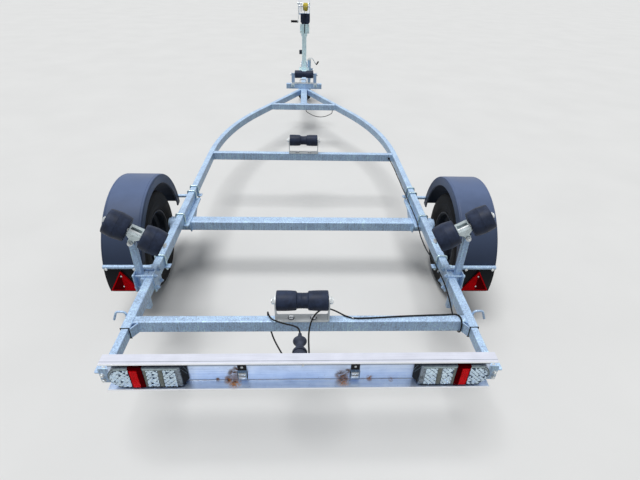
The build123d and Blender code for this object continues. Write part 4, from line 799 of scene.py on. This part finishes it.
class TRAILER_OT_mudguards(bpy.types.Operator):
    """Rolled edges and screws on the mudguards, and the faces of the reflectors"""

    bl_idname = "trailer.mudguards"
    bl_label = "Mudguards and reflectors"

    def execute(self, context):
        bm = bmesh.new()
        first = Vector((0, math.cos(math.radians(8.0)), math.sin(math.radians(8.0))))
        for side in SIDES:
            centre = spot(side * TRACK_X, AXLE_STATION, AXLE_Z)
            for radius, offset, bead in BEADS:
                for edge in SIDES:
                    profile = [(radius + bead * math.cos(a), edge * offset + bead * math.sin(a))
                               for a in (math.radians(45 * i) for i in range(8))]
                    lathe(bm, profile, centre, (1, 0, 0), 56, 184.0, first)
        fit("mudguard_beads", bm, "guard", crease=60)
        bm = bmesh.new()
        head = [(0.0, 0.0), (0.008, 0.0), (0.0075, 0.003), (0.004, 0.0052), (0.0, 0.0058)]
        for side in SIDES:
            for station, way in ((0.7635, -1), (1.6065, 1)):
                for dx in (-0.072, 0.072):
                    solid(bm, head, spot(side * TRACK_X + dx, station, 0.393), (0, way, 0), 18)
        fit("stay_screws", bm, "bright")
        self.reflectors()
        return {"FINISHED"}

    def reflectors(self):
        """Raised rim, two fields of prisms, the inner one in the red and the outer one in a dark red as
        painted light and shade, and two screws on each red triangle.
        """
        rims, bright, dark, screws = (bmesh.new() for _ in range(4))
        low, width, rear = 0.238, 0.150, AXLE_STATION - 0.407
        tall = width * math.sqrt(3) / 2
        head = [(0.0, 0.0), (0.0045, 0.0), (0.0042, 0.0022), (0.0022, 0.0034), (0.0, 0.0036)]
        for side in SIDES:
            middle = side * (TRACK_X + 0.012)
            corners = [(middle - width / 2, low), (middle + width / 2, low), (middle, low + tall)]
            heart = Vector((middle, 0, low + tall / 3))
            inner = [tuple(heart.lerp(Vector((x, 0, z)), 0.86).xz) for x, z in corners]
            for index in range(3):
                after = (index + 1) % 3
                ring = (corners[index], corners[after], inner[after], inner[index])
                prism(rims, [spot(x, rear, z) for x, z in ring], (0, -0.0018, 0))
            foot = ((inner[0][0] + inner[1][0]) / 2, inner[0][1])
            left, right = [inner[0], foot, inner[2]], [foot, inner[1], inner[2]]
            # Painted light and shade: the inner field of prisms in the red, the outer field in the dark red.
            for bm, half in zip((dark, bright), (left, right) if side < 0 else (right, left)):
                facets(bm, half, rear - 0.0002, 0.0052, 0.0012, 0.0)
            for z in (low + 0.030, low + 0.098):
                solid(screws, head, spot(middle, rear - 0.001, z), (0, -1, 0), 14)
        fit("reflector_rims", rims, "red")
        fit("reflector_prisms", bright, "red", crease=1)
        fit("reflector_dark_prisms", dark, "dark_red", crease=1)
        fit("reflector_screws", screws, "bright")


# Rollers

class TRAILER_OT_rollers(bpy.types.Operator):
    """Turn the moulded keel rollers and side rollers, and fit their washers"""

    bl_idname = "trailer.rollers"
    bl_label = "Rollers"

    def execute(self, context):
        keel = both_ways([
            (0.0101, 0.105), (0.017, 0.105), (0.018, 0.109), (0.038, 0.109), (0.042, 0.108), (0.043, 0.104),
            (0.043, 0.066), (0.0422, 0.046), (0.041, 0.029), (0.0398, 0.0256), (0.0368, 0.024),
            (0.0348, 0.0232), (0.0336, 0.0215), (0.033, 0.012), (0.033, 0.0022), (0.0324, 0.0012)])
        for name, station, z, nut_x in KEEL_ROWS:
            bm = bmesh.new()
            lathe(bm, keel, spot(0, station, z), (1, 0, 0), 72)
            node = "keel_roller_" + name
            fit("moulded_" + node, bm, "roller", node, 40, (node,))
            bm = bmesh.new()
            for way in SIDES:
                place = spot(way * (nut_x + 0.011), station, z)
                disc(bm, place, (way, 0, 0), 0.0125, 0.003, 0.009, 20, 0.001)
                threads(bm, spot(way * (nut_x + 0.010), station, z), (way, 0, 0), 0.0085, 0.0035)
            fit("keel_pin_ends_" + name, bm, "bright")
        barrel = both_ways([
            (0.0081, 0.044), (0.020, 0.044), (0.0215, 0.048), (0.053, 0.050), (0.0562, 0.0490),
            (0.0584, 0.0466), (0.0606, 0.0330), (0.0626, 0.0140), (0.0636, 0.0045), (0.0638, 0.0016),
            (0.0628, 0.0008)])
        washers = bmesh.new()
        for name, side, pivot_x, pivot_z, tilt in SIDE_ROWS:
            tilt = math.radians(tilt)
            axis = Vector((side * math.cos(tilt), 0, math.sin(tilt)))
            up = Vector((-side * math.sin(tilt), 0, math.cos(tilt)))
            hub = spot(side * pivot_x, SIDE_STATION, pivot_z) + up * SIDE_UP
            for place, way in (("outer", 1), ("inner", -1)):
                bm = bmesh.new()
                lathe(bm, barrel, hub + axis * way * SIDE_OUT, axis, 72)
                node = "side_roller_" + place + "_" + name
                fit("moulded_" + node, bm, "roller", node, 40, (node,))
            for way in SIDES:
                place = spot(side * pivot_x, SIDE_STATION + way * 0.0238, pivot_z)
                disc(washers, place, (0, way, 0), 0.0125, 0.0020, 0.0062, 20)
                place = spot(side * pivot_x, SIDE_STATION + way * 0.033, pivot_z)
                threads(washers, place, (0, way, 0), 0.0058, 0.0062)
        fit("pivot_washers", washers, "bright")
        return {"FINISHED"}


# Light board

class TRAILER_OT_lights(bpy.types.Operator):
    """Lenses, bars and rims of both lamps, screws of the light board and collars of its arms"""

    bl_idname = "trailer.lights"
    bl_label = "Light board and lamps"

    def execute(self, context):
        cell = context.scene.trailer_sizes.facet
        clear, bars, red, deep, rims, glass, dark = (bmesh.new() for _ in range(7))
        end, low, top = 0.648, LAMP_LOW + 0.004, LAMP_TOP - 0.013
        middle, reach = (low + top) / 2, (top - low) / 2
        chance = random.Random(11)
        arc = [(end + 0.046 * math.cos(a), middle + reach * math.sin(a))
               for a in (math.radians(-90 + 15 * i) for i in range(13))]
        fields = ([(0.622, low)] + arc + [(0.622, top)],
                  [(0.522, low), (0.563, low), (0.559, top), (0.518, top)],
                  [(0.457, low), (0.503, low), (0.499, top), (0.457, top)])
        border = [(end + 0.0490 * math.cos(a), middle + 0.004 + 0.0490 * math.sin(a))
                  for a in (math.radians(-80 + 10 * i) for i in range(17))]
        wedge = ((0.4366, 0.0140, LAMP_LOW + 0.008), (0.4366, 0.0140, LAMP_TOP - 0.008),
                 (0.4216, 0.0385, LAMP_TOP - 0.008), (0.4216, 0.0385, LAMP_LOW + 0.008))
        for side in SIDES:
            for field in fields:
                outline = [(side * x, z) for x, z in field]
                facets(clear, outline, LAMP_FACE - 0.0004, cell, 0.0040, 45.0, chance)
            for x0, x1 in ((0.563, 0.572), (0.505, 0.519)):
                self.band(bars, side, (x0, x1), (low, top), 0.0022, 0.0008, 0.004)
            # Painted light and shade on each lamp's red band: its middle in the lit red, its sides and its
            # top cap in the dark red.
            for bm, x0, x1 in ((red, 0.590, 0.618), (deep, 0.572, 0.590), (deep, 0.618, 0.6215)):
                self.band(bm, side, (x0, x1), (low - 0.002, top + 0.001), 0.0042, 0.0010)
            facets(red, [(side * x, z) for x, z in ((0.592, low), (0.616, low), (0.616, top), (0.592, top))],
                   LAMP_FACE - 0.0044, 0.006, 0.0010, 0.0)
            self.band(deep, side, (0.572, 0.6215), (top + 0.001, LAMP_TOP + 0.001), 0.0030, 0.0008)
            place = spot(side * 0.5968, LAMP_FACE + 0.010, LAMP_TOP + 0.0008)
            block(deep, place, (0.049, 0.024, 0.0016), 0.0005, 1)
            for x0, x1 in ((0.446, 0.571), (0.6225, 0.672)):
                self.band(glass, side, (x0, x1), (top + 0.0015, LAMP_TOP - 0.003), 0.0018, 0.0006)
            tube(rims, [spot(side * x, LAMP_FACE - 0.0006, z) for x, z in border], 0.0012, 8)
            tube(dark, [spot(side * (x + 0.0022), LAMP_FACE + 0.0012, z) for x, z in border], 0.0014, 8)
            place = spot(side * 0.560, LAMP_FACE + 0.0004, LAMP_LOW + 0.0016)
            block(dark, place, (0.226, 0.0024, 0.0026), 0.0006, 1)
            prism(dark, [spot(side * x, y, z) for x, y, z in wedge], (-0.0006 * side, -0.0004, 0))
            for line in (((0.4362, 0.0130, LAMP_TOP - 0.010), (0.4240, 0.0340, 0.470)),
                         ((0.4300, 0.0240, LAMP_TOP - 0.010), (0.4212, 0.0382, 0.478))):
                tube(rims, [spot(side * x, y, z) for x, y, z in line], 0.0007, 6)
        fit("lamp_facets", clear, "lens", crease=1, second="stroke")
        fit("lamp_bars", bars, "bars")
        fit("lamp_red", red, "glow", crease=20)
        fit("lamp_shaded_red", deep, "dark_red", crease=20)
        fit("lamp_edges", glass, "glass")
        fit("lamp_rims", rims, "glass")
        fit("lamp_shadow_lines", dark, "black")
        self.board_fittings()
        return {"FINISHED"}

    def band(self, bm, side, across, height, depth, bevel, lean=0.0):
        """Raised bar on the face of a lamp, its upper edge moved inwards by lean."""
        (x0, x1), (low, top) = across, height
        corners = ((x0, low), (x1, low), (x1 - lean, top), (x0 - lean, top))
        prism(bm, [spot(side * x, LAMP_FACE, z) for x, z in corners], (0, -depth, 0), bevel)

    def board_fittings(self):
        """Flange strips, crease of the web, clip pads and screws of the light board."""
        bm = bmesh.new()
        for y0, y1 in ((0.0003, 0.0090), (0.0116, 0.0447)):
            block(bm, spot(0, (y0 + y1) / 2, 0.5644), (1.4236, y1 - y0, 0.0010), 0.0003, 1)
        fillet = [(0.0430, 0.4210), (0.0390, 0.4214), (0.0412, 0.4225), (0.0424, 0.4255)]
        prism(bm, [spot(-0.7115, station, z) for station, z in fillet], (1.423, 0, 0))
        fit("board_strips", bm, "board")
        shadows, pads, screws, collars = (bmesh.new() for _ in range(4))
        for x in CLIPS:
            block(shadows, spot(x, 0.0396, 0.4960), (0.0335, 0.0016, 0.0360), 0.0005, 1)
            block(shadows, spot(x, 0.0326, 0.4565), (0.0290, 0.0016, 0.0020), 0.0004, 1)
            for dx in (-0.0172, 0.0172):
                block(shadows, spot(x + dx, 0.0380, 0.4540), (0.0020, 0.0100, 0.0370), 0.0004, 1)
            block(pads, spot(x, 0.0322, 0.4655), (0.0270, 0.0026, 0.0120), 0.0010)
            block(pads, spot(x, 0.0322, 0.4475), (0.0270, 0.0026, 0.0130), 0.0010)
        head = [(0.0, 0.0), (0.0052, 0.0), (0.0048, 0.0020), (0.0025, 0.0036), (0.0, 0.0040)]
        for x, station, z in ((0.004, 0.0425, 0.501), (CLIPS[0], 0.0392, 0.4965), (CLIPS[1], 0.0392, 0.4965)):
            solid(screws, head, spot(x, station, z), (0, -1, 0), 18)
        for side in SIDES:
            for z in (0.452, 0.424):
                place = spot(side * 0.741, 0.045, z)
                washer_nut(screws, place, (0, -1, 0), (0.009, 0.0018, 0.0018), 0.013, 0.006)
            place = spot(side * 0.741, 0.064, 0.4635)
            washer_nut(screws, place, (0, 0, 1), (0.010, 0.002, 0.002), 0.013, 0.006)
            block(collars, spot(side * RAIL_X, 0.2725, 0.434), (0.0405, 0.003, 0.0605), 0.0008)
        fit("clip_shadows", shadows, "black")
        fit("clip_pads", pads, "bright")
        fit("board_screws", screws, "bright")
        fit("arm_collars", collars, "black")


# Welds, washers and thread ends of the frame

# Seams of the right half: thickness, then X, station and Z of both ends
SEAMS = (
    (1.0, (0.344, 3.572, RAIL_TOP), (0.326, 3.608, RAIL_TOP)),
    (1.0, (0.030, 3.611, RAIL_TOP - 0.004), (0.006, 3.611, RAIL_TOP)),
    (1.0, (0.0355, 4.175, RAIL_TOP - 0.002), (0.0355, 4.228, RAIL_TOP - 0.001)),
    (1.0, (0.034, 4.2305, RAIL_TOP), (0.002, 4.2305, RAIL_TOP)),
    (1.0, (0.034, 4.2695, RAIL_TOP), (0.002, 4.2695, RAIL_TOP)),
    (1.0, (0.028, 5.270, 0.472), (0.001, 5.270, 0.472)),
    (1.0, (0.028, 5.330, 0.472), (0.001, 5.330, 0.472)),
    (1.0, (0.030, 5.273, 0.472), (0.030, 5.327, 0.472)),
    (0.8, (0.0355, 5.264, 0.900), (0.0350, 5.264, 0.930)),
)


class TRAILER_OT_fasteners(bpy.types.Operator):
    """Weld beads at the frame's joints, washers and threads of its bolts"""

    bl_idname = "trailer.fasteners"
    bl_label = "Welds and fasteners"

    def execute(self, context):
        size = context.scene.trailer_sizes.weld
        chance = random.Random(7)
        bm = bmesh.new()
        for side in SIDES:
            x = side * (RAIL_X - RAIL_W / 2)
            for rear, front in ((0.306, 0.346), (2.190, 2.230)):
                for z in (RAIL_TOP, RAIL_LOW):
                    weld(bm, spot(x, rear + 0.004, z), spot(x, front - 0.004, z), size, chance)
                for station in (rear, front):
                    low, top = spot(x, station, RAIL_LOW + 0.006), spot(x, station, RAIL_TOP - 0.006)
                    weld(bm, low, top, size, chance)
            for share, start, end in SEAMS:
                start, end = (spot(side * across, station, z) for across, station, z in (start, end))
                weld(bm, start, end, size * share, chance)
        fit("weld_beads", bm, "weld", crease=70)
        self.bolt_ends()
        self.gussets()
        self.dome_bolts()
        return {"FINISHED"}

    def bolt_ends(self):
        """Threads that stick out of the nuts of the axle's plates and of the side rollers' brackets."""
        bm = bmesh.new()
        for station, under in ((0.7837, 0.006), (1.207, 0.008), (1.512, 0.008), (1.5863, 0.006)):
            low = RAIL_LOW - under
            for side in SIDES:
                for x in (0.762, 0.712):
                    threads(bm, spot(side * x, station, low - 0.0185), (0, 0, -1), 0.0049, 0.0022)
                    threads(bm, spot(side * x, station, low - 0.0100), (0, 0, -1), 0.0050, 0.0080)
        for _, side, pivot_x, _, _ in SIDE_ROWS:
            for dy in (-0.027, 0.027):
                for z in (RAIL_LOW - 0.005, RAIL_TOP + 0.005):
                    place = spot(side * (pivot_x + 0.0265), SIDE_STATION + dy, z)
                    threads(bm, place, (side, 0, 0), 0.0051, 0.0038)
        fit("bolt_ends", bm, "bright")

    def gussets(self):
        """Flared plates at the rear end of the drawbar, and the bent bolt over the front tie."""
        bm = bmesh.new()
        for side in SIDES:
            for z in (RAIL_TOP - 0.006, RAIL_LOW + 0.002):
                points = [spot(side * x, station, z) for x, station in
                          ((0.0352, 3.6105), (0.0500, 3.6105), (0.0500, 3.6150), (0.0352, 3.6480))]
                prism(bm, points, (0, 0, 0.004), 0.0008)
        fit("drawbar_gussets", bm, "galvanised")
        bm = bmesh.new()
        left, right, foot, top, bend = -0.049, 0.026, 0.5245, 0.566, 0.015
        points = [spot(left, 4.250, foot)]
        for corner, start in ((left + bend, 180), (right - bend, 90)):
            for index in range(7):
                turn = math.radians(start - 15 * index)
                points.append(spot(corner + bend * math.cos(turn), 4.250, top - bend + bend * math.sin(turn)))
        tube(bm, points + [spot(right, 4.250, foot)], 0.0045, 12)
        for x in (left, right):
            washer_nut(bm, spot(x, 4.250, foot), (0, 0, 1), (0.011, 0.0020, 0.0018), 0.014, 0.007, 22, 0.0047)
        fit("tie_bolt", bm, "bright")

    def dome_bolts(self):
        """Round bolt heads of the rear keel rollers, black rings round them as their painted shadows, and
        black strips as painted shadow lines where plates meet.
        """
        domes, dark = bmesh.new(), bmesh.new()
        head = [(0.0, 0.0), (0.0118, 0.0), (0.0122, 0.0015), (0.0105, 0.0050), (0.0065, 0.0074),
                (0.0, 0.0082)]
        for station in (0.326, 2.210):
            for side in SIDES:
                solid(domes, head, spot(side * 0.048, station, RAIL_TOP + 0.006), (0, 0, 1), 28)
                # Black ring round each dome bolt: its painted shadow.
                place = spot(side * 0.048, station, RAIL_TOP + 0.0045)
                disc(dark, place, (0, 0, 1), 0.0142, 0.0018, 0.0, 28, 0.0004)
            # Painted shadow line along the rear edge of the keel bracket.
            block(dark, spot(0, station - 0.0205, RAIL_TOP + 0.0020), (0.226, 0.0016, 0.0030), 0.0004, 1)
        # Painted shadow lines at the drawbar's rear end and down the middle of the bow stop's plate.
        block(dark, spot(0, 3.6125, RAIL_TOP + 0.0002), (0.058, 0.0046, 0.0008), 0.0003, 1)
        block(dark, spot(0.005, 5.2632, 0.9895), (0.0100, 0.0030, 0.1080), 0.0005, 1)
        fit("keel_dome_bolts", domes, "knob")
        fit("painted_shadow_marks", dark, "black")


# Winch, coupling and jockey wheel

class TRAILER_OT_front(bpy.types.Operator):
    """Strap turns, ratchet, grips and small parts of the winch, coupling and jockey wheel"""

    bl_idname = "trailer.front"
    bl_label = "Winch, coupling and jockey wheel"

    def execute(self, context):
        self.winch()
        self.bow_stop()
        self.coupling()
        self.jockey()
        return {"FINISHED"}

    def winch(self):
        """Turns and loose end of the strap, washers of the drum, and both grips of the crank."""
        x, station, z = WINCH
        bm = bmesh.new()
        turns = [(0.018 + 0.0024 * i, -0.0308 if i % 2 else -0.0300) for i in range(10)]
        lathe(bm, both_ways(turns + [(0.0420, -0.0302)]), spot(x, station, z), (1, 0, 0), 56)
        fit("strap_turns", bm, "strap", "winch_drum", 50, ("strap_coil",))
        bm = bmesh.new()
        rear = station - 0.0441
        block(bm, spot(x, rear, z - 0.026), (0.049, 0.0024, 0.050), 0.0006)
        for row in range(4):
            block(bm, spot(x, rear - 0.0013, z - 0.036 - 0.004 * row), (0.044, 0.0006, 0.0012))
        fit("strap_end", bm, "strap")
        bm = bmesh.new()
        for side in SIDES:
            disc(bm, spot(side * 0.0710, station, z), (side, 0, 0), 0.015, 0.002, 0.0092, 24)
        fit("winch_washers", bm, "bright")
        bm = bmesh.new()
        grip = [(0.0, 0.0), (0.012, 0.0), (0.0155, 0.004), (0.0155, 0.010)]
        for index in range(8):
            a = 0.014 + 0.009 * index
            grip += [(0.0138, a), (0.0152, a + 0.0045)]
        grip += [(0.0150, 0.090), (0.0120, 0.0965), (0.0, 0.0975)]
        solid(bm, grip, spot(-0.0835, CRANK_STATION, CRANK_Z), (-1, 0, 0), 32)
        fit("crank_grip", bm, "black", "winch_crank", 50)
        bm = bmesh.new()
        knob = [(0.0, 0.0), (0.0130, 0.0), (0.0140, 0.003), (0.0128, 0.008), (0.0085, 0.012), (0.0, 0.0135)]
        solid(bm, knob, spot(-0.0845, CRANK_STATION, CRANK_Z + 0.215), (-1, 0, 0), 28)
        fit("crank_knob", bm, "knob", "winch_crank", 50)

    def bow_stop(self):
        """Rounded rubber block with a grooved face and a raised rear lip."""
        bm = bmesh.new()
        rear, low = 5.2625, 1.054
        face = rear - 0.088
        for half, lip, foot, top in ((0.0610, rear, low, 1.158), (0.0606, face + 0.0440, 1.146, 1.176)):
            outline = [(-half, face), (-half + 0.014, face), (0.0, face + 0.034), (half - 0.014, face),
                       (half, face), (half, lip), (-half, lip)]
            part = bmesh.new()
            prism(part, [spot(STOP_X + x, y, foot) for x, y in outline], (0, 0, top - foot))
            if foot == low:
                for side in SIDES:
                    geom = part.verts[:] + part.edges[:] + part.faces[:]
                    made = bmesh.ops.bisect_plane(part, geom=geom, dist=1e-6, clear_outer=True,
                                                  plane_co=spot(STOP_X + side * half, rear, low + 0.026),
                                                  plane_no=(side * 0.026, 0, -0.020))
                    cut = [e for e in made["geom_cut"] if isinstance(e, bmesh.types.BMEdge)]
                    bmesh.ops.holes_fill(part, edges=cut, sides=0)
            bmesh.ops.recalc_face_normals(part, faces=part.faces)
            round_edges(part, part.verts, 0.0065, 3)
            mesh = bpy.data.meshes.new("bow_stop_part")
            part.to_mesh(mesh)
            part.free()
            bm.from_mesh(mesh)
            bpy.data.meshes.remove(mesh)
        fit("rubber_bow_stop", bm, "roller", crease=40, replaces=("bow_stop",))
        bm = bmesh.new()
        for x in (0.054, -0.046):
            for z in (0.953, 1.024):
                washer_nut(bm, spot(x, 5.2605, z), (0, -1, 0), (0.0100, 0.0018, 0.0018), 0.0130, 0.0060)
        fit("stop_plate_bolts", bm, "bright")

    def coupling(self):
        """Bolts through the coupling, and the grip of its handle."""
        bm = bmesh.new()
        for side in SIDES:
            for station in (5.822, 5.878):
                place = spot(side * 0.041, station, 0.429)
                washer_nut(bm, place, (side, 0, 0), (0.012, 0.002, 0.002), 0.019, 0.009, 22)
        fit("coupling_bolts", bm, "bright")
        bm = bmesh.new()
        block(bm, spot(0, 5.838, 0.4985), (0.034, 0.052, 0.013), 0.005, 3)
        fit("coupling_grip", bm, "black")

    def jockey(self):
        """Tread of the jockey wheel and the grip of its clamp."""
        bm = bmesh.new()
        radius = 0.0980
        for index in range(36):
            turn = math.radians(10 * index)
            place = spot(0.010 + radius * math.sin(turn), 5.450, 0.100 + radius * math.cos(turn))
            block(bm, place, (0.004, 0.030, 0.0035), 0.0006, 1, Matrix.Rotation(turn, 4, "Y"))
        fit("jockey_tread", bm, "tyre", "jockey_wheel")
        bm = bmesh.new()
        grip = [(0.0, 0.0), (0.0100, 0.0), (0.0108, 0.006), (0.0098, 0.024), (0.0110, 0.046),
                (0.0090, 0.055), (0.0, 0.0565)]
        solid(bm, grip, spot(0.175, 5.450, 0.504), (0.56, 0, 0.83), 28)
        fit("jockey_grip", bm, "black")


# Plug and sockets

class TRAILER_OT_plug(bpy.types.Operator):
    """Rubber boot of the plug and the screws of its socket"""

    bl_idname = "trailer.plug"
    bl_label = "Plug and sockets"

    def execute(self, context):
        bm = bmesh.new()
        boot = [
            (0.0, 0.056), (0.0290, 0.056), (0.0292, 0.062), (0.0275, 0.066), (0.0245, 0.071),
            (0.0205, 0.0765), (0.0174, 0.0820), (0.0158, 0.0875), (0.0152, 0.0935), (0.0158, 0.0985),
            (0.0190, 0.1030), (0.0245, 0.1080), (0.0272, 0.1130), (0.0278, 0.1172), (0.0266, 0.1212),
            (0.0225, 0.1258), (0.0168, 0.1300), (0.0124, 0.1345), (0.0096, 0.1405), (0.0080, 0.1480),
            (0.0070, 0.1565), (0.0, 0.1570)]
        solid(bm, boot, spot(PLUG_X, 0.045, PLUG_Z), (0, 1, 0), 56)
        fit("plug_boot", bm, "plug", crease=50, replaces=("board_plug",))
        bm = bmesh.new()
        head = [(0.0, 0.0), (0.0042, 0.0), (0.0036, 0.0022), (0.0, 0.003)]
        for dx in (-0.023, 0.023):
            for dz in (-0.023, 0.023):
                solid(bm, head, spot(PLUG_X + dx, 0.051, PLUG_Z + dz), (0, 1, 0), 14)
        fit("socket_screws", bm, "bright")
        return {"FINISHED"}


# Stage

class TRAILER_OT_stage(bpy.types.Operator):
    """Plain floor, soft light and the camera"""

    bl_idname = "trailer.stage"
    bl_label = "Stage"

    def execute(self, context):
        stage = context.scene.trailer_stage
        data = bpy.data.cameras.new("view")
        data.lens = stage.lens
        data.sensor_width = 36.0
        data.clip_end = 200.0
        camera = bpy.data.objects.new("view", data)
        context.scene.collection.objects.link(camera)
        yaw, pitch, roll = 0.04643, 0.58570, 0.02990
        forward = Vector((math.sin(yaw) * math.cos(pitch), math.cos(yaw) * math.cos(pitch), -math.sin(pitch)))
        right = Vector((math.cos(yaw), -math.sin(yaw), 0))
        up = right.cross(forward)
        across = math.cos(roll) * right + math.sin(roll) * up
        above = math.cos(roll) * up - math.sin(roll) * right
        turned = Matrix((across, above, -forward)).transposed().to_4x4()
        camera.matrix_world = Matrix.Translation((0.0045, -1.0022 + REAR, 1.7538)) @ turned
        context.scene.camera = camera
        self.floor(context, tuple(stage.floor), tuple(stage.ground))
        self.sky(context, stage.sky)
        lamp = bpy.data.lights.new("soft_key", "SUN")
        lamp.energy = stage.key
        lamp.angle = math.radians(32)
        key = bpy.data.objects.new("soft_key", lamp)
        key.rotation_euler = (math.radians(6), math.radians(-9), 0)
        context.scene.collection.objects.link(key)
        context.scene.view_settings.view_transform = "Standard"
        return {"FINISHED"}

    def floor(self, context, colour, ground):
        """Pale floor as it is seen, darker in the light that it throws back."""
        bm = bmesh.new()
        bmesh.ops.create_grid(bm, x_segments=4, y_segments=4, size=60.0)
        mesh = bpy.data.meshes.new("floor")
        bm.to_mesh(mesh)
        bm.free()
        finish = Finish("floor_paint", Roughness=0.9, Specular_IOR_Level=0.1)
        clouds = finish.noise(1.4, 3.0, 0.5)
        pale = finish.ramp(clouds, (0.3, shade(colour, 0.98)), (0.7, shade(colour, 1.02)))
        finish.link("Base Color", finish.mix(finish.seen(), ground, pale))
        mesh.materials.append(finish.material)
        piece = bpy.data.objects.new("floor", mesh)
        context.scene.collection.objects.link(piece)

    def sky(self, context, strength):
        """Even light from all round, with a pale background where it is seen."""
        world = bpy.data.worlds.new("soft_sky")
        world.use_nodes = True
        nodes = Nodes(world.node_tree)
        light = nodes.tree.nodes["Background"]
        light.inputs["Color"].default_value = (0.93, 0.96, 1.0, 1.0)
        light.inputs["Strength"].default_value = strength
        pale = nodes.add("ShaderNodeBackground", {"Color": (0.86, 0.88, 0.90, 1.0), "Strength": 0.9})
        mix = nodes.add("ShaderNodeMixShader", {0: nodes.seen(), 1: light.outputs[0], 2: pale.outputs[0]})
        nodes.tree.links.new(mix.outputs[0], nodes.tree.nodes["World Output"].inputs["Surface"])
        context.scene.world = world


OPERATORS = (TRAILER_OT_finishes, TRAILER_OT_cables, TRAILER_OT_wheels, TRAILER_OT_mudguards,
             TRAILER_OT_rollers, TRAILER_OT_lights, TRAILER_OT_fasteners, TRAILER_OT_front, TRAILER_OT_plug,
             TRAILER_OT_stage)
GROUPS = (TrailerSizes, TrailerColours, TrailerStage)


class TRAILER_PT_panel(bpy.types.Panel):
    """Lists the makers of the trailer's pieces with their sizes and colours"""

    bl_label = "Boat Trailer"
    bl_idname = "TRAILER_PT_panel"
    bl_space_type = "VIEW_3D"
    bl_region_type = "UI"
    bl_category = "Trailer"

    def draw(self, context):
        for maker in OPERATORS:
            self.layout.operator(maker.bl_idname)
        scene = context.scene
        for group in (scene.trailer_sizes, scene.trailer_colours, scene.trailer_stage):
            box = self.layout.box()
            for name in group.bl_rna.properties.keys():
                if name not in ("rna_type", "name"):
                    box.prop(group, name)


def register():
    for item in (*GROUPS, *OPERATORS, TRAILER_PT_panel):
        bpy.utils.register_class(item)
    bpy.types.Scene.trailer_sizes = PointerProperty(type=TrailerSizes)
    bpy.types.Scene.trailer_colours = PointerProperty(type=TrailerColours)
    bpy.types.Scene.trailer_stage = PointerProperty(type=TrailerStage)


def unregister():
    del bpy.types.Scene.trailer_stage
    del bpy.types.Scene.trailer_colours
    del bpy.types.Scene.trailer_sizes
    for item in reversed((*GROUPS, *OPERATORS, TRAILER_PT_panel)):
        bpy.utils.unregister_class(item)


def main():
    """Make every piece."""
    register()
    bpy.ops.trailer.finishes()
    bpy.ops.trailer.stage()
    bpy.ops.trailer.cables()
    bpy.ops.trailer.wheels()
    bpy.ops.trailer.mudguards()
    bpy.ops.trailer.rollers()
    bpy.ops.trailer.lights()
    bpy.ops.trailer.fasteners()
    bpy.ops.trailer.front()
    bpy.ops.trailer.plug()


if __name__ == "__main__":
    main()
